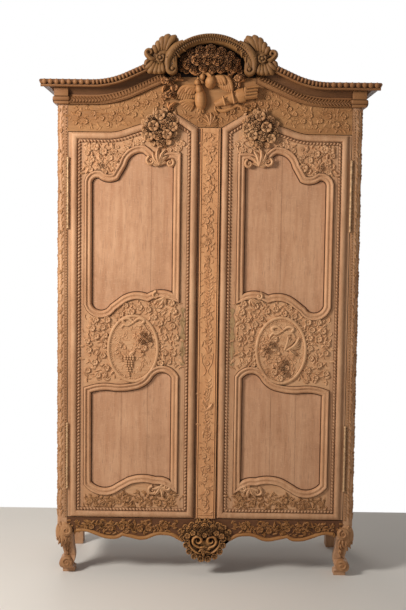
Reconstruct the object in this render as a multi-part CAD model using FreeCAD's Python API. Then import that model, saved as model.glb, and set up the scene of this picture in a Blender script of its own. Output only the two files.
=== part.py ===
import FreeCAD, Part
import math
import os
from FreeCAD import Vector

# A carved oak marriage armoire in millimetres. X runs to the right seen from the front, the front
# faces -Y, Z is up, and the origin lies on the floor at the middle of the outer box.
# Places named with _x are measured from the centre line and are mirrored for the left side.

# Carcass
body_width = 1360.0
body_depth = 500.0
post_face = 46.0
post_lip = 22.0
post_depth = 70.0
post_corner = 24.0
carcass_top = 2150.0
apron_top = 265.0
knee_height = 195.0
foot_width = 90.0
side_inset = 4.0
side_rail_thickness = 26.0
side_rail_heights = (120.0, 130.0, 150.0)
panel_thickness = 10.0
panel_groove = 8.0
back_rail_thickness = 22.0
back_rail_height = 110.0
muntin_width = 90.0
tenon_length = 32.0
tenon_thickness = 9.0
tenon_inset = 15.0
peg_diameter = 9.0
peg_head = 1.5
peg_depth = 26.0

# Inside
floor_thickness = 20.0
roof_thickness = 18.0
shelf_thickness = 22.0
shelf_heights = (690.0, 1115.0, 1540.0)
shelf_setback = 30.0
shelf_clearance = 1.0
cleat_width = 24.0
cleat_height = 30.0

# Doors
door_thickness = 28.0
stop_gap = 1.5
edge_gap = 3.0
mullion_width = 96.0
mullion_lift = 6.0
mullion_tongue = 18.0
meeting_gap = 4.0
hinge_stile_width = 74.0
meeting_stile_width = 76.0
shoulder_drop = 135.0
shoulder_x = 450.0
peak_rise = 88.0
peak_x = 155.0
chamfer_rise = 25.0
moulding_width = 32.0
moulding_lift = 5.0
moulding_crown_lift = 10.0
moulding_crown_inset = 8.0
moulding_depth = 10.0
upper_sight_bottom = 1218.0
upper_sight_drop = 87.0
lower_sight_bottom = 402.0
lower_sight_top = 940.0

# Hinges
hinge_lengths = (295.0, 310.0)
lower_hinge_bottom = 405.0
upper_hinge_drop = 425.0
barrel_diameter = 10.0
barrel_stand_off = 6.0
pin_diameter = 5.0
pin_length = 60.0
pin_clearance = 0.2
knuckle_gap = 0.3
finial_diameter = 12.0
leaf_thickness = 2.0
leaf_depth = 20.0

# Lock, bolts and escutcheons
lock_width = 84.0
lock_height = 120.0
lock_depth = 22.0
lock_wall = 3.0
lock_setback = 4.0
keyhole_x = 112.0
keyhole_height = 1092.0
keyhole_diameter = 7.0
keyhole_slot_width = 3.0
keyhole_slot_length = 14.0
bolt_length = 60.0
bolt_height = 22.0
bolt_thickness = 10.0
bolt_clearance = 0.4
bolt_travel = 22.0
keeper_wall = 4.0
escutcheon_width = 25.0
escutcheon_height = 265.0
escutcheon_thickness = 1.5
slide_x = 92.0
slide_width = 14.0
slide_thickness = 7.0
slide_length = 300.0
slide_rise = 45.0
slide_travel = 22.0
slide_knob_diameter = 12.0
slide_knob_length = 12.0
guide_height = 14.0
guide_wall = 4.0
slide_gap = 6.0

# Cornice
cornice_lap = 13.0
cornice_height = 102.0
cornice_reach = 70.0
cornice_bed = 30.0
bend_start_x = 520.0
bend_radius = 458.0
bend_angle = 24.5

# Crest and carvings
crest_reach = 92.0
arch_half_width = 201.0
arch_foot_rise = 125.0
arch_spring_rise = 73.0
arch_height = 178.0
arch_band = 38.0
arch_opening_half_width = 154.0
arch_opening_rise = 63.0
volute_x = 176.0
volute_rise = 19.0
volute_diameter = 50.0
backboard_thickness = 24.0
shell_width = 90.0
shell_height = 178.0
shell_depth = 66.0
niche_bunch_width = 290.0
niche_bunch_rise = 2.0
niche_bunch_height = 126.0
niche_bunch_reach = 52.0
dove_width = 122.0
dove_height = 118.0
dove_reach = 38.0
dove_left_x = 158.0
dove_left_drop = 23.0
dove_right_x = -14.0
dove_right_rise = 23.0
dove_right_height = 104.0
quiver_start_x = 26.0
quiver_drop = 7.0
quiver_length = 172.0
quiver_tilt = 22.0
quiver_diameter = 30.0
bouquet_width = 138.0
bouquet_height = 116.0
bouquet_drop = 28.0
bouquet_x = 152.0
bouquet_reach = 30.0
basket_width = 224.0
basket_bottom = 70.0
basket_height = 190.0
basket_reach = 40.0
medallion_x = 335.0
medallion_height = 1048.0
medallion_width = 234.0
medallion_tall = 310.0
medallion_lift = 4.0

# One overrun for every cut that passes right through
overrun = 60.0

# Outline tables. A row of two places is a straight line, a row of three an arc, and a longer row
# a smooth curve, and each row starts where the last one ended.
foot_post_share = 0.91
peg_shares = (0.36, 0.64)
escutcheon_drop_share = 0.45
quiver_neck_share = 0.6
foot_shares = [
    [(0.02, 0.0), (0.63, 0.0)],
    [(0.63, 0.0), (0.63, 0.08)],
    [(0.63, 0.08), (0.80, 0.24), (0.56, 0.38)],
    [(0.56, 0.38), (0.66, 0.60), (0.96, 0.92)],
    [(0.96, 0.92), (0.91, 1.0)],
    [(0.91, 1.0), (0.08, 1.0)],
    [(0.08, 1.0), (0.10, 0.78), (0.04, 0.50)],
    [(0.04, 0.50), (0.02, 0.32), (0.12, 0.15)],
    [(0.12, 0.15), (0.02, 0.10)],
    [(0.02, 0.10), (0.02, 0.0)],
]
upper_sight_shares = [
    [(1.0, 0.045), (1.0, 0.81)],
    [(1.0, 0.81), (0.98, 0.83), (0.92, 0.84)],
    [(0.92, 0.84), (0.80, 0.815), (0.68, 0.83)],
    [(0.68, 0.83), (0.58, 0.92)],
    [(0.58, 0.92), (0.51, 0.98), (0.38, 1.0)],
    [(0.38, 1.0), (0.33, 0.98), (0.28, 0.93)],
    [(0.28, 0.93), (0.13, 0.93)],
    [(0.13, 0.93), (0.08, 0.955), (0.0, 0.96)],
    [(0.0, 0.96), (0.0, 0.12)],
    [(0.0, 0.12), (0.15, 0.135), (0.31, 0.11)],
    [(0.31, 0.11), (0.47, 0.12), (0.63, 0.09)],
    [(0.63, 0.09), (0.77, 0.035)],
    [(0.77, 0.035), (0.90, 0.0), (1.0, 0.045)],
]
lower_sight_shares = [
    [(1.0, 0.055), (1.0, 0.82)],
    [(1.0, 0.82), (0.86, 0.84), (0.72, 0.835)],
    [(0.72, 0.835), (0.60, 0.835), (0.46, 0.85)],
    [(0.46, 0.85), (0.33, 0.885), (0.23, 0.96)],
    [(0.23, 0.96), (0.12, 1.0), (0.0, 0.955)],
    [(0.0, 0.955), (0.0, 0.07)],
    [(0.0, 0.07), (0.08, 0.095), (0.19, 0.10)],
    [(0.19, 0.10), (0.38, 0.115), (0.54, 0.09)],
    [(0.54, 0.09), (0.68, 0.035)],
    [(0.68, 0.035), (0.84, 0.0), (1.0, 0.055)],
]
door_top_shares = [(1.0, 1.0), (0.51, 0.46), (0.34, 0.27), (0.17, 0.08), (0.0, 0.0)]
apron_edge_shares = [
    [(0.93, 0.0), (0.86, -0.04), (0.74, 0.33), (0.68, 0.42), (0.63, 0.38), (0.595, 0.21)],
    [(0.595, 0.21), (0.52, 0.36), (0.47, 0.45), (0.42, 0.40), (0.36, 0.18), (0.32, 0.11)],
    [(0.32, 0.11), (0.25, 0.16), (0.20, 0.38), (0.16, 0.56)],
]
apron_edge_drop = 71.0
cornice_profile_shares = [
    [(0.0, 0.0), (0.20, 0.02)],
    [(0.20, 0.02), (0.27, 0.19), (0.16, 0.36)],
    [(0.16, 0.36), (0.16, 0.41)],
    [(0.16, 0.41), (0.39, 0.67), (0.90, 0.76)],
    [(0.90, 0.76), (0.90, 0.83)],
    [(0.90, 0.83), (1.0, 0.93), (0.86, 1.0)],
]
shell_shares = [
    [(0.0, 0.0), (0.92, 0.02)],
    [(0.92, 0.02), (0.99, 0.20), (1.0, 0.48), (0.95, 0.58), (0.74, 0.66), (0.49, 0.71)],
    [(0.49, 0.71), (0.34, 0.84), (0.13, 0.93), (-0.30, 1.0), (-0.68, 0.95)],
    [(-0.68, 0.95), (-0.68, 0.60)],
    [(-0.68, 0.60), (0.0, 0.30)],
    [(0.0, 0.30), (0.0, 0.0)],
]
bunch_shares = [
    (0.50, 0.52, 0.24, 1.0), (0.31, 0.42, 0.22, 0.9), (0.69, 0.44, 0.22, 0.9), (0.40, 0.80, 0.17, 0.8),
    (0.62, 0.80, 0.17, 0.8), (0.17, 0.28, 0.20, 0.7), (0.83, 0.28, 0.20, 0.7), (0.50, 0.22, 0.19, 0.8),
]
bouquet_shares = [
    (0.50, 0.50, 0.26, 1.0), (0.24, 0.56, 0.20, 0.8), (0.76, 0.50, 0.20, 0.8), (0.36, 0.24, 0.19, 0.8),
    (0.66, 0.22, 0.18, 0.7), (0.30, 0.82, 0.16, 0.6), (0.58, 0.80, 0.17, 0.8),
]
basket_shares = [
    (0.50, 0.36, 0.40, 1.0), (0.26, 0.72, 0.19, 0.8), (0.50, 0.80, 0.19, 0.9), (0.74, 0.72, 0.19, 0.8),
    (0.14, 0.52, 0.13, 0.6), (0.86, 0.52, 0.13, 0.6),
]
dove_outline_shares = [
    [(0.0, 0.12), (0.18, 0.28), (0.26, 0.42)],
    [(0.26, 0.42), (0.06, 0.62), (0.08, 0.86), (0.34, 0.86), (0.56, 0.64)],
    [(0.56, 0.64), (0.66, 0.84), (0.78, 0.97), (0.90, 0.94)],
    [(0.90, 0.94), (1.0, 0.88)],
    [(1.0, 0.88), (0.88, 0.80), (0.86, 0.60), (0.74, 0.30), (0.48, 0.16)],
    [(0.48, 0.16), (0.26, 0.10), (0.04, 0.0)],
    [(0.04, 0.0), (0.0, 0.12)],
]
dove_body_shares = [(0.62, 0.46, 0.26, 1.0), (0.70, 0.66, 0.18, 0.9), (0.79, 0.86, 0.11, 0.8)]
dove_wing_share = 0.4
escutcheon_shares = [
    [(0.5, 0.0), (0.9, 0.04), (0.6, 0.12), (1.0, 0.24), (0.7, 0.36), (1.0, 0.50), (0.7, 0.64), (1.0, 0.76),
     (0.6, 0.88), (0.9, 0.96), (0.5, 1.0)],
    [(0.5, 1.0), (0.1, 0.96), (0.4, 0.88), (0.0, 0.76), (0.3, 0.64), (0.0, 0.50), (0.3, 0.36), (0.0, 0.24),
     (0.4, 0.12), (0.1, 0.04), (0.5, 0.0)],
]

# Places that follow from the sizes
half_width = body_width / 2
front = (crest_reach - body_depth) / 2
back = front + body_depth
post_in = half_width - post_face
lip_in = post_in - post_lip
rebate = door_thickness + stop_gap
door_back = front + door_thickness
post_back = front + post_depth
back_post_front = back - post_depth
door_bottom = apron_top + edge_gap
door_in = mullion_width / 2 + meeting_gap
door_out = post_in - edge_gap
hinge_x = (post_in + door_out) / 2
hinge_y = front - barrel_stand_off
side_out = half_width - side_inset
side_in = side_out - side_rail_thickness
sight_in = door_in + meeting_stile_width + moulding_width
sight_out = door_out - hinge_stile_width - moulding_width
board_front = front + rebate
back_face = back - side_inset
shoulder_height = carcass_top - shoulder_drop
peak_height = shoulder_height + peak_rise
chamfer_height = shoulder_height + chamfer_rise
upper_sight_top = shoulder_height - upper_sight_drop
hinge_bottoms = (lower_hinge_bottom, shoulder_height - upper_hinge_drop)
slide_top = shoulder_height + slide_rise
bouquet_bottom = shoulder_height - bouquet_drop
cornice_foot = carcass_top - cornice_lap
dove_left_bottom = cornice_foot - dove_left_drop
dove_right_bottom = cornice_foot + dove_right_rise
quiver_start_height = cornice_foot - quiver_drop
arch_foot = cornice_foot + arch_foot_rise
niche_bunch_bottom = arch_foot + niche_bunch_rise
arch_spring = arch_foot + arch_spring_rise
arch_top = arch_foot + arch_height
volute_height = arch_foot + volute_rise
board_back = back_face - back_rail_thickness


def face_of(strokes, place):
    """Closed face from rows of places, where place turns a pair into a point in space."""
    edges = []
    for stroke in strokes:
        points = [place(a, b) for a, b in stroke]
        if len(points) == 2:
            edges.append(Part.LineSegment(points[0], points[1]).toShape())
        elif len(points) == 3:
            edges.append(Part.Arc(points[0], points[1], points[2]).toShape())
        else:
            curve = Part.BSplineCurve()
            curve.interpolate(points)
            edges.append(curve.toShape())
    return Part.Face(Part.Wire(edges))


def ring_of(corners):
    """Rows of straight lines round the corners."""
    return [[corners[i - 1], corners[i]] for i in range(len(corners))]


def scaled(strokes, x0, x1, z0, z1):
    """Rows of shares laid over a box."""
    return [[(x0 + (x1 - x0) * u, z0 + (z1 - z0) * v) for u, v in stroke] for stroke in strokes]


def slab(strokes, y0, y1):
    """Solid with a front-view outline, from y0 back to y1."""
    return face_of(strokes, lambda x, z: Vector(x, y0, z)).extrude(Vector(0, y1 - y0, 0))


def box(x0, x1, y0, y1, z0, z1):
    return Part.makeBox(x1 - x0, y1 - y0, z1 - z0, Vector(x0, y0, z0))


def rod(diameter, start, direction, length):
    return Part.makeCylinder(diameter / 2, length, start, direction)


def mirror(shape):
    return shape.mirror(Vector(0, 0, 0), Vector(1, 0, 0))


def joined(shapes):
    """One solid of shapes that meet or overlap."""
    whole = shapes[0].fuse(shapes[1:]) if len(shapes) > 1 else shapes[0]
    return whole.removeSplitter()


def dome(x, z, base_radius, height, face_y):
    """Round boss on a front face."""
    radius = (base_radius**2 + height**2) / (2 * height)
    centre = Vector(x, face_y + radius - height, z)
    start = math.degrees(math.asin((radius - height) / radius))
    return Part.makeSphere(radius, centre, Vector(0, -1, 0), start, 90, 360)


def bunch(shares, x0, width, z0, height, reach, face_y):
    """Domes over a box, as one solid in high relief."""
    domes = []
    for u, v, size, lift in shares:
        domes.append(dome(x0 + width * u, z0 + height * v, min(width, height) * size, reach * lift, face_y))
    return joined(domes)


def save(name, *shapes):
    """Write a node and print its solids and volume."""
    solids = [solid for shape in shapes for solid in shape.Solids]
    node = solids[0] if len(solids) == 1 else Part.makeCompound(solids)
    node.exportStep("parts/" + name + ".step")
    volume = sum(solid.Volume for solid in solids)
    print(f"{name}: {len(solids)} solids, {volume / 1000:.0f} cm3, valid {all(s.isValid() for s in solids)}")


def cornice_line(rise):
    """Curve that the cornice follows, at a height above its foot, from the straight end to the arch."""
    radius = bend_radius - rise
    centre_z = cornice_foot + bend_radius
    angle = math.radians(bend_angle)

    def bend(turn):
        return (bend_start_x - radius * math.sin(turn), centre_z - radius * math.cos(turn))

    end = bend(angle)
    arch_end = (arch_half_width, end[1] + (end[0] - arch_half_width) * math.tan(angle))
    return [[bend(0), bend(angle / 2), end], [end, arch_end]]


def mirrored(strokes):
    """The same rows on the left side, in the opposite order."""
    return [[(-x, z) for x, z in reversed(stroke)] for stroke in reversed(strokes)]


def door_top(rise):
    """Top edge of the right door from the mullion to the post, raised by a gap."""
    across = peak_x - shoulder_x
    up = peak_height - shoulder_height
    curve = [(shoulder_x + across * u, shoulder_height + up * v + rise) for u, v in door_top_shares]
    chamfer = [(door_in, chamfer_height + rise), curve[0]]
    return [chamfer, curve]


def front_post():
    """Right front post: a rebated timber with a rounded outer corner and a cabriole foot."""
    turn = post_corner * (1 - math.sqrt(0.5))
    section = [
        [(post_in, front), (half_width - post_corner, front)],
        [(half_width - post_corner, front), (half_width - turn, front + turn),
         (half_width, front + post_corner)],
        [(half_width, front + post_corner), (half_width, post_back)],
        [(half_width, post_back), (lip_in, post_back)],
        [(lip_in, post_back), (lip_in, front + rebate)],
        [(lip_in, front + rebate), (post_in, front + rebate)],
        [(post_in, front + rebate), (post_in, front)],
    ]
    shaft = face_of(section, lambda x, y: Vector(x, y, knee_height)).extrude(
        Vector(0, 0, carcass_top - knee_height))
    inner = half_width - foot_width * foot_post_share
    front_view = slab(scaled(foot_shares, inner, inner + foot_width, 0, knee_height),
                      front - overrun, post_back + overrun)
    side_rows = scaled(foot_shares, half_width - inner, half_width - inner - foot_width, 0, knee_height)
    side_view = face_of(side_rows, lambda y, z: Vector(inner - overrun, front + y, z)).extrude(
        Vector(foot_width + 2 * overrun, 0, 0))
    return joined([shaft, front_view.common(side_view)])


def back_post():
    return box(lip_in, half_width, back_post_front, back, 0, carcass_top)


def notched_board(setback, z, thickness):
    """Board that fills the inside, cut back round the four posts, with its ends over the cleats."""
    long_x = lip_in - shelf_clearance
    wide_x = side_in - shelf_clearance
    long_board = box(-long_x, long_x, board_front + setback, board_back, z, z + thickness)
    wide_board = box(-wide_x, wide_x, post_back + shelf_clearance, back_post_front - shelf_clearance,
                     z, z + thickness)
    return joined([long_board, wide_board])


def tenon(x0, x1, y_mid, z0, z1):
    half = tenon_thickness / 2
    return box(x0, x1, y_mid - half, y_mid + half, z0 + tenon_inset, z1 - tenon_inset)


def side_tenon(x_mid, y0, y1, z0, z1):
    half = tenon_thickness / 2
    return box(x_mid - half, x_mid + half, y0, y1, z0 + tenon_inset, z1 - tenon_inset)


def apron_outline():
    edge = scaled(apron_edge_shares, 0, post_in, knee_height, knee_height - apron_edge_drop)
    start = edge[0][0]
    end = edge[-1][-1]
    rows = [
        [(-post_in, apron_top), (post_in, apron_top)],
        [(post_in, apron_top), (post_in, knee_height)],
        [(post_in, knee_height), start],
    ]
    rows += edge
    rows += [[end, (-end[0], end[1])]]
    rows += mirrored(edge)
    rows += [
        [(-start[0], start[1]), (-post_in, knee_height)],
        [(-post_in, knee_height), (-post_in, apron_top)],
    ]
    return rows


def frieze_outline():
    top = cornice_line(carcass_top - cornice_foot)
    rise_end = top[-1][-1]
    lower = door_top(edge_gap)
    shoulder = lower[-1][-1]
    tongue = lower[0][0]
    rows = [[(post_in, carcass_top), top[0][0]]]
    rows += top
    rows += [
        [rise_end, (arch_half_width, arch_foot)],
        [(arch_half_width, arch_foot), (-arch_half_width, arch_foot)],
        [(-arch_half_width, arch_foot), (-rise_end[0], rise_end[1])],
    ]
    rows += mirrored(top)
    rows += [
        [(-top[0][0][0], carcass_top), (-post_in, carcass_top)],
        [(-post_in, carcass_top), (-post_in, shoulder[1])],
        [(-post_in, shoulder[1]), (-shoulder[0], shoulder[1])],
    ]
    rows += mirrored(lower)
    rows += [[(-tongue[0], tongue[1]), tongue]]
    rows += lower
    rows += [[shoulder, (post_in, shoulder[1])], [(post_in, shoulder[1]), (post_in, carcass_top)]]
    return rows


def cornice_face(place):
    """Moulded section with the bed that sits on the carcass. Its places are reach and height."""
    rows = scaled(cornice_profile_shares, 0, cornice_reach, 0, cornice_height)
    crown = rows[-1][-1]
    seat = carcass_top - cornice_foot
    rows += [
        [crown, (-cornice_bed, cornice_height)],
        [(-cornice_bed, cornice_height), (-cornice_bed, seat)],
        [(-cornice_bed, seat), (0, seat)],
        [(0, seat), (0, 0)],
    ]
    return face_of(rows, place)


def mitre(inner_side):
    """Prism on one side of the corner's diagonal, seen from above."""
    reach = cornice_reach + cornice_bed + overrun
    corner = (half_width + reach, front + reach) if inner_side else (half_width - reach, front - reach)
    rows = ring_of([(half_width - reach, front + reach), (half_width + reach, front - reach), corner])
    return face_of(rows, lambda x, y: Vector(x, y, cornice_foot - overrun)).extrude(
        Vector(0, 0, cornice_height + 2 * overrun))


def front_cornice(filled_arch, shell):
    """Right front length: straight, then bent up, then sloping to the arch."""
    angle = math.radians(bend_angle)
    section = cornice_face(lambda p, h: Vector(half_width + cornice_reach, front - p, cornice_foot + h))
    straight = section.extrude(Vector(bend_start_x - half_width - cornice_reach, 0, 0))
    start = cornice_face(lambda p, h: Vector(bend_start_x, front - p, cornice_foot + h))
    pivot = Vector(bend_start_x, front, cornice_foot + bend_radius)
    bent = start.revolve(pivot, Vector(0, 1, 0), bend_angle)
    end = start.copy()
    end.rotate(pivot, Vector(0, 1, 0), bend_angle)
    run = bend_start_x
    slope = end.extrude(Vector(-run * math.cos(angle), 0, run * math.sin(angle)))
    beyond = box(-bend_start_x, arch_half_width, front - crest_reach, back, cornice_foot - overrun,
                 arch_top + bend_start_x)
    whole = joined([straight, bent, slope]).cut(mitre(True)).cut(beyond)
    return whole.cut(filled_arch).cut(shell)


def side_cornice():
    section = cornice_face(lambda p, h: Vector(half_width + p, front - cornice_reach, cornice_foot + h))
    return section.extrude(Vector(0, back - front + cornice_reach, 0)).cut(mitre(False))


def arch_outline():
    return [
        [(-arch_half_width, arch_foot), (arch_half_width, arch_foot)],
        [(arch_half_width, arch_foot), (arch_half_width, arch_spring)],
        [(arch_half_width, arch_spring), (0, arch_top), (-arch_half_width, arch_spring)],
        [(-arch_half_width, arch_spring), (-arch_half_width, arch_foot)],
    ]


def crest_arch():
    """Arched band with a volute at each foot."""
    half = arch_opening_half_width
    low = arch_foot - overrun
    spring = arch_foot + arch_opening_rise
    opening = [
        [(-half, low), (half, low)],
        [(half, low), (half, spring)],
        [(half, spring), (0, arch_top - arch_band), (-half, spring)],
        [(-half, spring), (-half, low)],
    ]
    y0 = front - crest_reach
    band = slab(arch_outline(), y0, front)
    band = band.cut(slab(opening, y0 - overrun, front + overrun))
    band = band.cut(box(-half_width, half_width, y0 - overrun, front + overrun, low, volute_height))
    volutes = [rod(volute_diameter, Vector(side * volute_x, y0, volute_height), Vector(0, 1, 0), crest_reach)
               for side in (-1, 1)]
    return joined([band] + volutes)


def door_outline():
    top = door_top(0)
    shoulder = top[-1][-1]
    rows = [
        [(door_out, door_bottom), (door_in, door_bottom)],
        [(door_in, door_bottom), top[0][0]],
    ]
    rows += top
    rows += [[shoulder, (door_out, shoulder[1])], [(door_out, shoulder[1]), (door_out, door_bottom)]]
    return rows


def grown(strokes, amount, y0, y1):
    """Slab of an outline grown all round by an amount."""
    face = face_of(strokes, lambda x, z: Vector(x, y0, z))
    outer = face.OuterWire.makeOffset2D(amount, 0)
    return Part.Face(outer).extrude(Vector(0, y1 - y0, 0))


def door_parts(lock_hole):
    """Stiles, rails, panels and mouldings of the right door, in place."""
    panels = [
        (scaled(lower_sight_shares, sight_in, sight_out, lower_sight_bottom, lower_sight_top)),
        (scaled(upper_sight_shares, sight_in, sight_out, upper_sight_bottom, upper_sight_top)),
    ]
    frame = slab(door_outline(), front, door_back)
    boards = []
    lengths = []
    corner_heights = []
    for sight in panels:
        opening = grown(sight, moulding_width, front - overrun, door_back + overrun)
        frame = frame.cut(opening)
        boards.append(grown(sight, moulding_width, front + moulding_depth,
                            front + moulding_depth + panel_thickness))
        hole = slab(sight, front - overrun, door_back + overrun)
        low = grown(sight, moulding_width, front - moulding_lift, front + moulding_depth)
        crown = grown(sight, moulding_width - moulding_crown_inset, front - moulding_crown_lift,
                      front - moulding_lift)
        crown = crown.cut(grown(sight, moulding_crown_inset, front - overrun, door_back))
        ring = joined([low.cut(hole), crown])
        outer_low, outer_high = sight[0][0][1], sight[0][1][1]
        inner_row = [row for row in sight if row[0][0] == row[-1][0] == sight_in][0]
        inner_high, inner_low = inner_row[0][1], inner_row[-1][1]
        corner_heights.append((outer_low, outer_high, inner_low, inner_high))
        side_regions = []
        for x, away, low_z, high_z in ((sight_out, 1, outer_low, outer_high),
                                       (sight_in, -1, inner_low, inner_high)):
            far = x + away * (moulding_width + stop_gap)
            spread = moulding_width + stop_gap
            quad = ring_of([(x, low_z), (far, low_z - spread), (far, high_z + spread), (x, high_z)])
            side_regions.append(slab(quad, front - overrun, door_back + overrun))
        lengths += [ring.common(region) for region in side_regions]
        lengths.append(ring.cut(side_regions))
    stile_edge = door_out - hinge_stile_width
    meeting_edge = door_in + meeting_stile_width
    top = peak_height + overrun
    hinge_stile = frame.common(box(stile_edge, door_out, front, door_back, 0, top))
    meeting_stile = frame.common(box(door_in, meeting_edge, front, door_back, 0, top))
    rails = frame.common(box(meeting_edge, stile_edge, front, door_back, 0, top)).Solids
    rails.sort(key=lambda rail: rail.CenterOfMass.z)
    (low_o0, low_o1, low_i0, low_i1), (up_o0, up_o1, up_i0, up_i1) = corner_heights
    outer_spans = [(door_bottom, low_o0 - moulding_width), (low_o1 + moulding_width, up_o0 - moulding_width),
                   (up_o1 + moulding_width, shoulder_height)]
    inner_spans = [(door_bottom, low_i0 - moulding_width), (low_i1 + moulding_width, up_i0 - moulding_width),
                   (up_i1 + moulding_width, chamfer_height)]
    middle = front + door_thickness / 2
    shaped = []
    for rail, outer, inner in zip(rails, outer_spans, inner_spans):
        outer_tenon = tenon(stile_edge, stile_edge + tenon_length, middle, *outer)
        inner_tenon = tenon(meeting_edge - tenon_length, meeting_edge, middle, *inner)
        hinge_stile = hinge_stile.cut(outer_tenon)
        meeting_stile = meeting_stile.cut(inner_tenon)
        shaped.append(joined([rail, outer_tenon, inner_tenon]))
    plain_meeting_stile = meeting_stile
    meeting_stile = meeting_stile.cut(lock_hole)
    return hinge_stile, meeting_stile, plain_meeting_stile, shaped, boards, lengths


def medallion():
    """Low oval boss on the middle rail."""
    centre = Vector(medallion_x, front, medallion_height)
    ellipse = Part.Ellipse(Vector(medallion_x, front, medallion_height + medallion_tall / 2),
                           Vector(medallion_x + medallion_width / 2, front, medallion_height), centre)
    return Part.Face(Part.Wire([ellipse.toShape()])).extrude(Vector(0, -medallion_lift, 0))


def keyhole(y0, y1):
    """Round and slot of the keyhole, right through."""
    bore = rod(keyhole_diameter, Vector(keyhole_x, y0, keyhole_height), Vector(0, 1, 0), y1 - y0)
    half = keyhole_slot_width / 2
    low = keyhole_height - keyhole_slot_length
    slot = box(keyhole_x - half, keyhole_x + half, y0, y1, low, keyhole_height)
    return bore.fuse(slot)


def hinge_halves(bottom, length):
    """Lower half with its pin for the post, upper half for the door, and their two leaves."""
    half = length / 2
    up = Vector(0, 0, 1)
    foot = Vector(hinge_x, hinge_y, bottom)
    middle = Vector(hinge_x, hinge_y, bottom + half)
    lower = rod(barrel_diameter, foot, up, half)
    lower_finial = Part.makeSphere(finial_diameter / 2, foot)
    pin = rod(pin_diameter, middle - up * knuckle_gap, up, pin_length)
    post_leaf = box(post_in, post_in + leaf_thickness, hinge_y, front + leaf_depth, bottom, bottom + half)
    post_half = joined([lower, lower_finial, pin, post_leaf])
    upper_start = middle + up * knuckle_gap
    upper = rod(barrel_diameter, upper_start, up, half - knuckle_gap)
    upper_finial = Part.makeSphere(finial_diameter / 2, Vector(hinge_x, hinge_y, bottom + length))
    door_leaf = box(door_out - leaf_thickness, door_out, hinge_y, front + leaf_depth,
                    bottom + half + knuckle_gap, bottom + length)
    bore = rod(pin_diameter + 2 * pin_clearance, middle, up, pin_length + pin_clearance)
    door_half = joined([upper, upper_finial, door_leaf]).cut(bore)
    return post_half, door_half, post_leaf, door_leaf


def escutcheon():
    low = keyhole_height - escutcheon_height * escutcheon_drop_share
    x0 = keyhole_x - escutcheon_width / 2
    return slab(scaled(escutcheon_shares, x0, x0 + escutcheon_width, low, low + escutcheon_height),
                front - escutcheon_thickness, front)


def dove(x0, z0, width, height):
    """Flying dove: a flat outline with wing and tail, and a round body and head on it."""
    outline = scaled(dove_outline_shares, x0, x0 + width, z0, z0 + height)
    flat = slab(outline, front - dove_reach * dove_wing_share, front)
    return joined([flat, bunch(dove_body_shares, x0, width, z0, height, dove_reach, front)])


# Carved pieces and the crest
filled_arch = slab(arch_outline(), front - crest_reach - overrun, back)
shell_rows = scaled(shell_shares, arch_half_width, arch_half_width + shell_width, arch_foot,
                    arch_foot + shell_height)
shell_solid = slab(shell_rows, front - crest_reach, front - crest_reach + shell_depth).cut(filled_arch)
cornice_right_front = front_cornice(filled_arch, shell_solid)
cornice_right_side = side_cornice()
save("cornice_front_right", cornice_right_front)
save("cornice_front_left", mirror(cornice_right_front))
save("cornice_side_right", cornice_right_side)
save("cornice_side_left", mirror(cornice_right_side))
save("crest_arch", crest_arch())
save("crest_backboard", slab(arch_outline(), front, front + backboard_thickness))
save("crest_shell_right", shell_solid)
save("crest_shell_left", mirror(shell_solid))
save("crest_flowers", bunch(bunch_shares, -niche_bunch_width / 2, niche_bunch_width, niche_bunch_bottom,
                            niche_bunch_height, niche_bunch_reach, front))
save("dove_left", dove(-dove_left_x, dove_left_bottom, dove_width, dove_height))
save("dove_right", dove(dove_right_x, dove_right_bottom, dove_width, dove_right_height))
tilt = math.radians(quiver_tilt)
quiver_direction = Vector(math.cos(tilt), 0, math.sin(tilt))
quiver_start = Vector(quiver_start_x, front, quiver_start_height)
quiver_body = rod(quiver_diameter, quiver_start, quiver_direction, quiver_length)
mouth_start = quiver_start + quiver_direction * (quiver_length - quiver_diameter)
quiver_mouth = Part.makeCylinder(quiver_diameter * quiver_neck_share, quiver_diameter, mouth_start,
                                 quiver_direction)
quiver_room = box(-half_width, half_width, front - quiver_diameter, front,
                  quiver_start_height - quiver_length, quiver_start_height + quiver_length)
quiver = joined([quiver_body, quiver_mouth]).common(quiver_room)
save("quiver", quiver.cut(dove(dove_right_x, dove_right_bottom, dove_width, dove_right_height)))
save("apron_basket", bunch(basket_shares, -basket_width / 2, basket_width, basket_bottom, basket_height,
                           basket_reach, front))

# Posts and rails
right_post = front_post()
rail_middle = front + rebate / 2
apron = slab(apron_outline(), front, front + rebate)
frieze = slab(frieze_outline(), front, front + rebate)
frieze_low = shoulder_height + edge_gap
peg_solids = []
for low, high in ((knee_height, apron_top), (frieze_low, carcass_top)):
    right_tenon = tenon(post_in, post_in + tenon_length, rail_middle, low, high)
    for share in peg_shares:
        start = Vector(post_in + tenon_length / 2, front - peg_head, low + (high - low) * share)
        peg = rod(peg_diameter, start, Vector(0, 1, 0), peg_head + peg_depth)
        peg_solids += [peg, mirror(peg)]
        right_post = right_post.cut(peg)
        right_tenon = right_tenon.cut(peg)
    right_post = right_post.cut(right_tenon)
    tenons = [right_tenon, mirror(right_tenon)]
    if high == apron_top:
        apron = joined([apron] + tenons)
    else:
        frieze = joined([frieze] + tenons)

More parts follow.
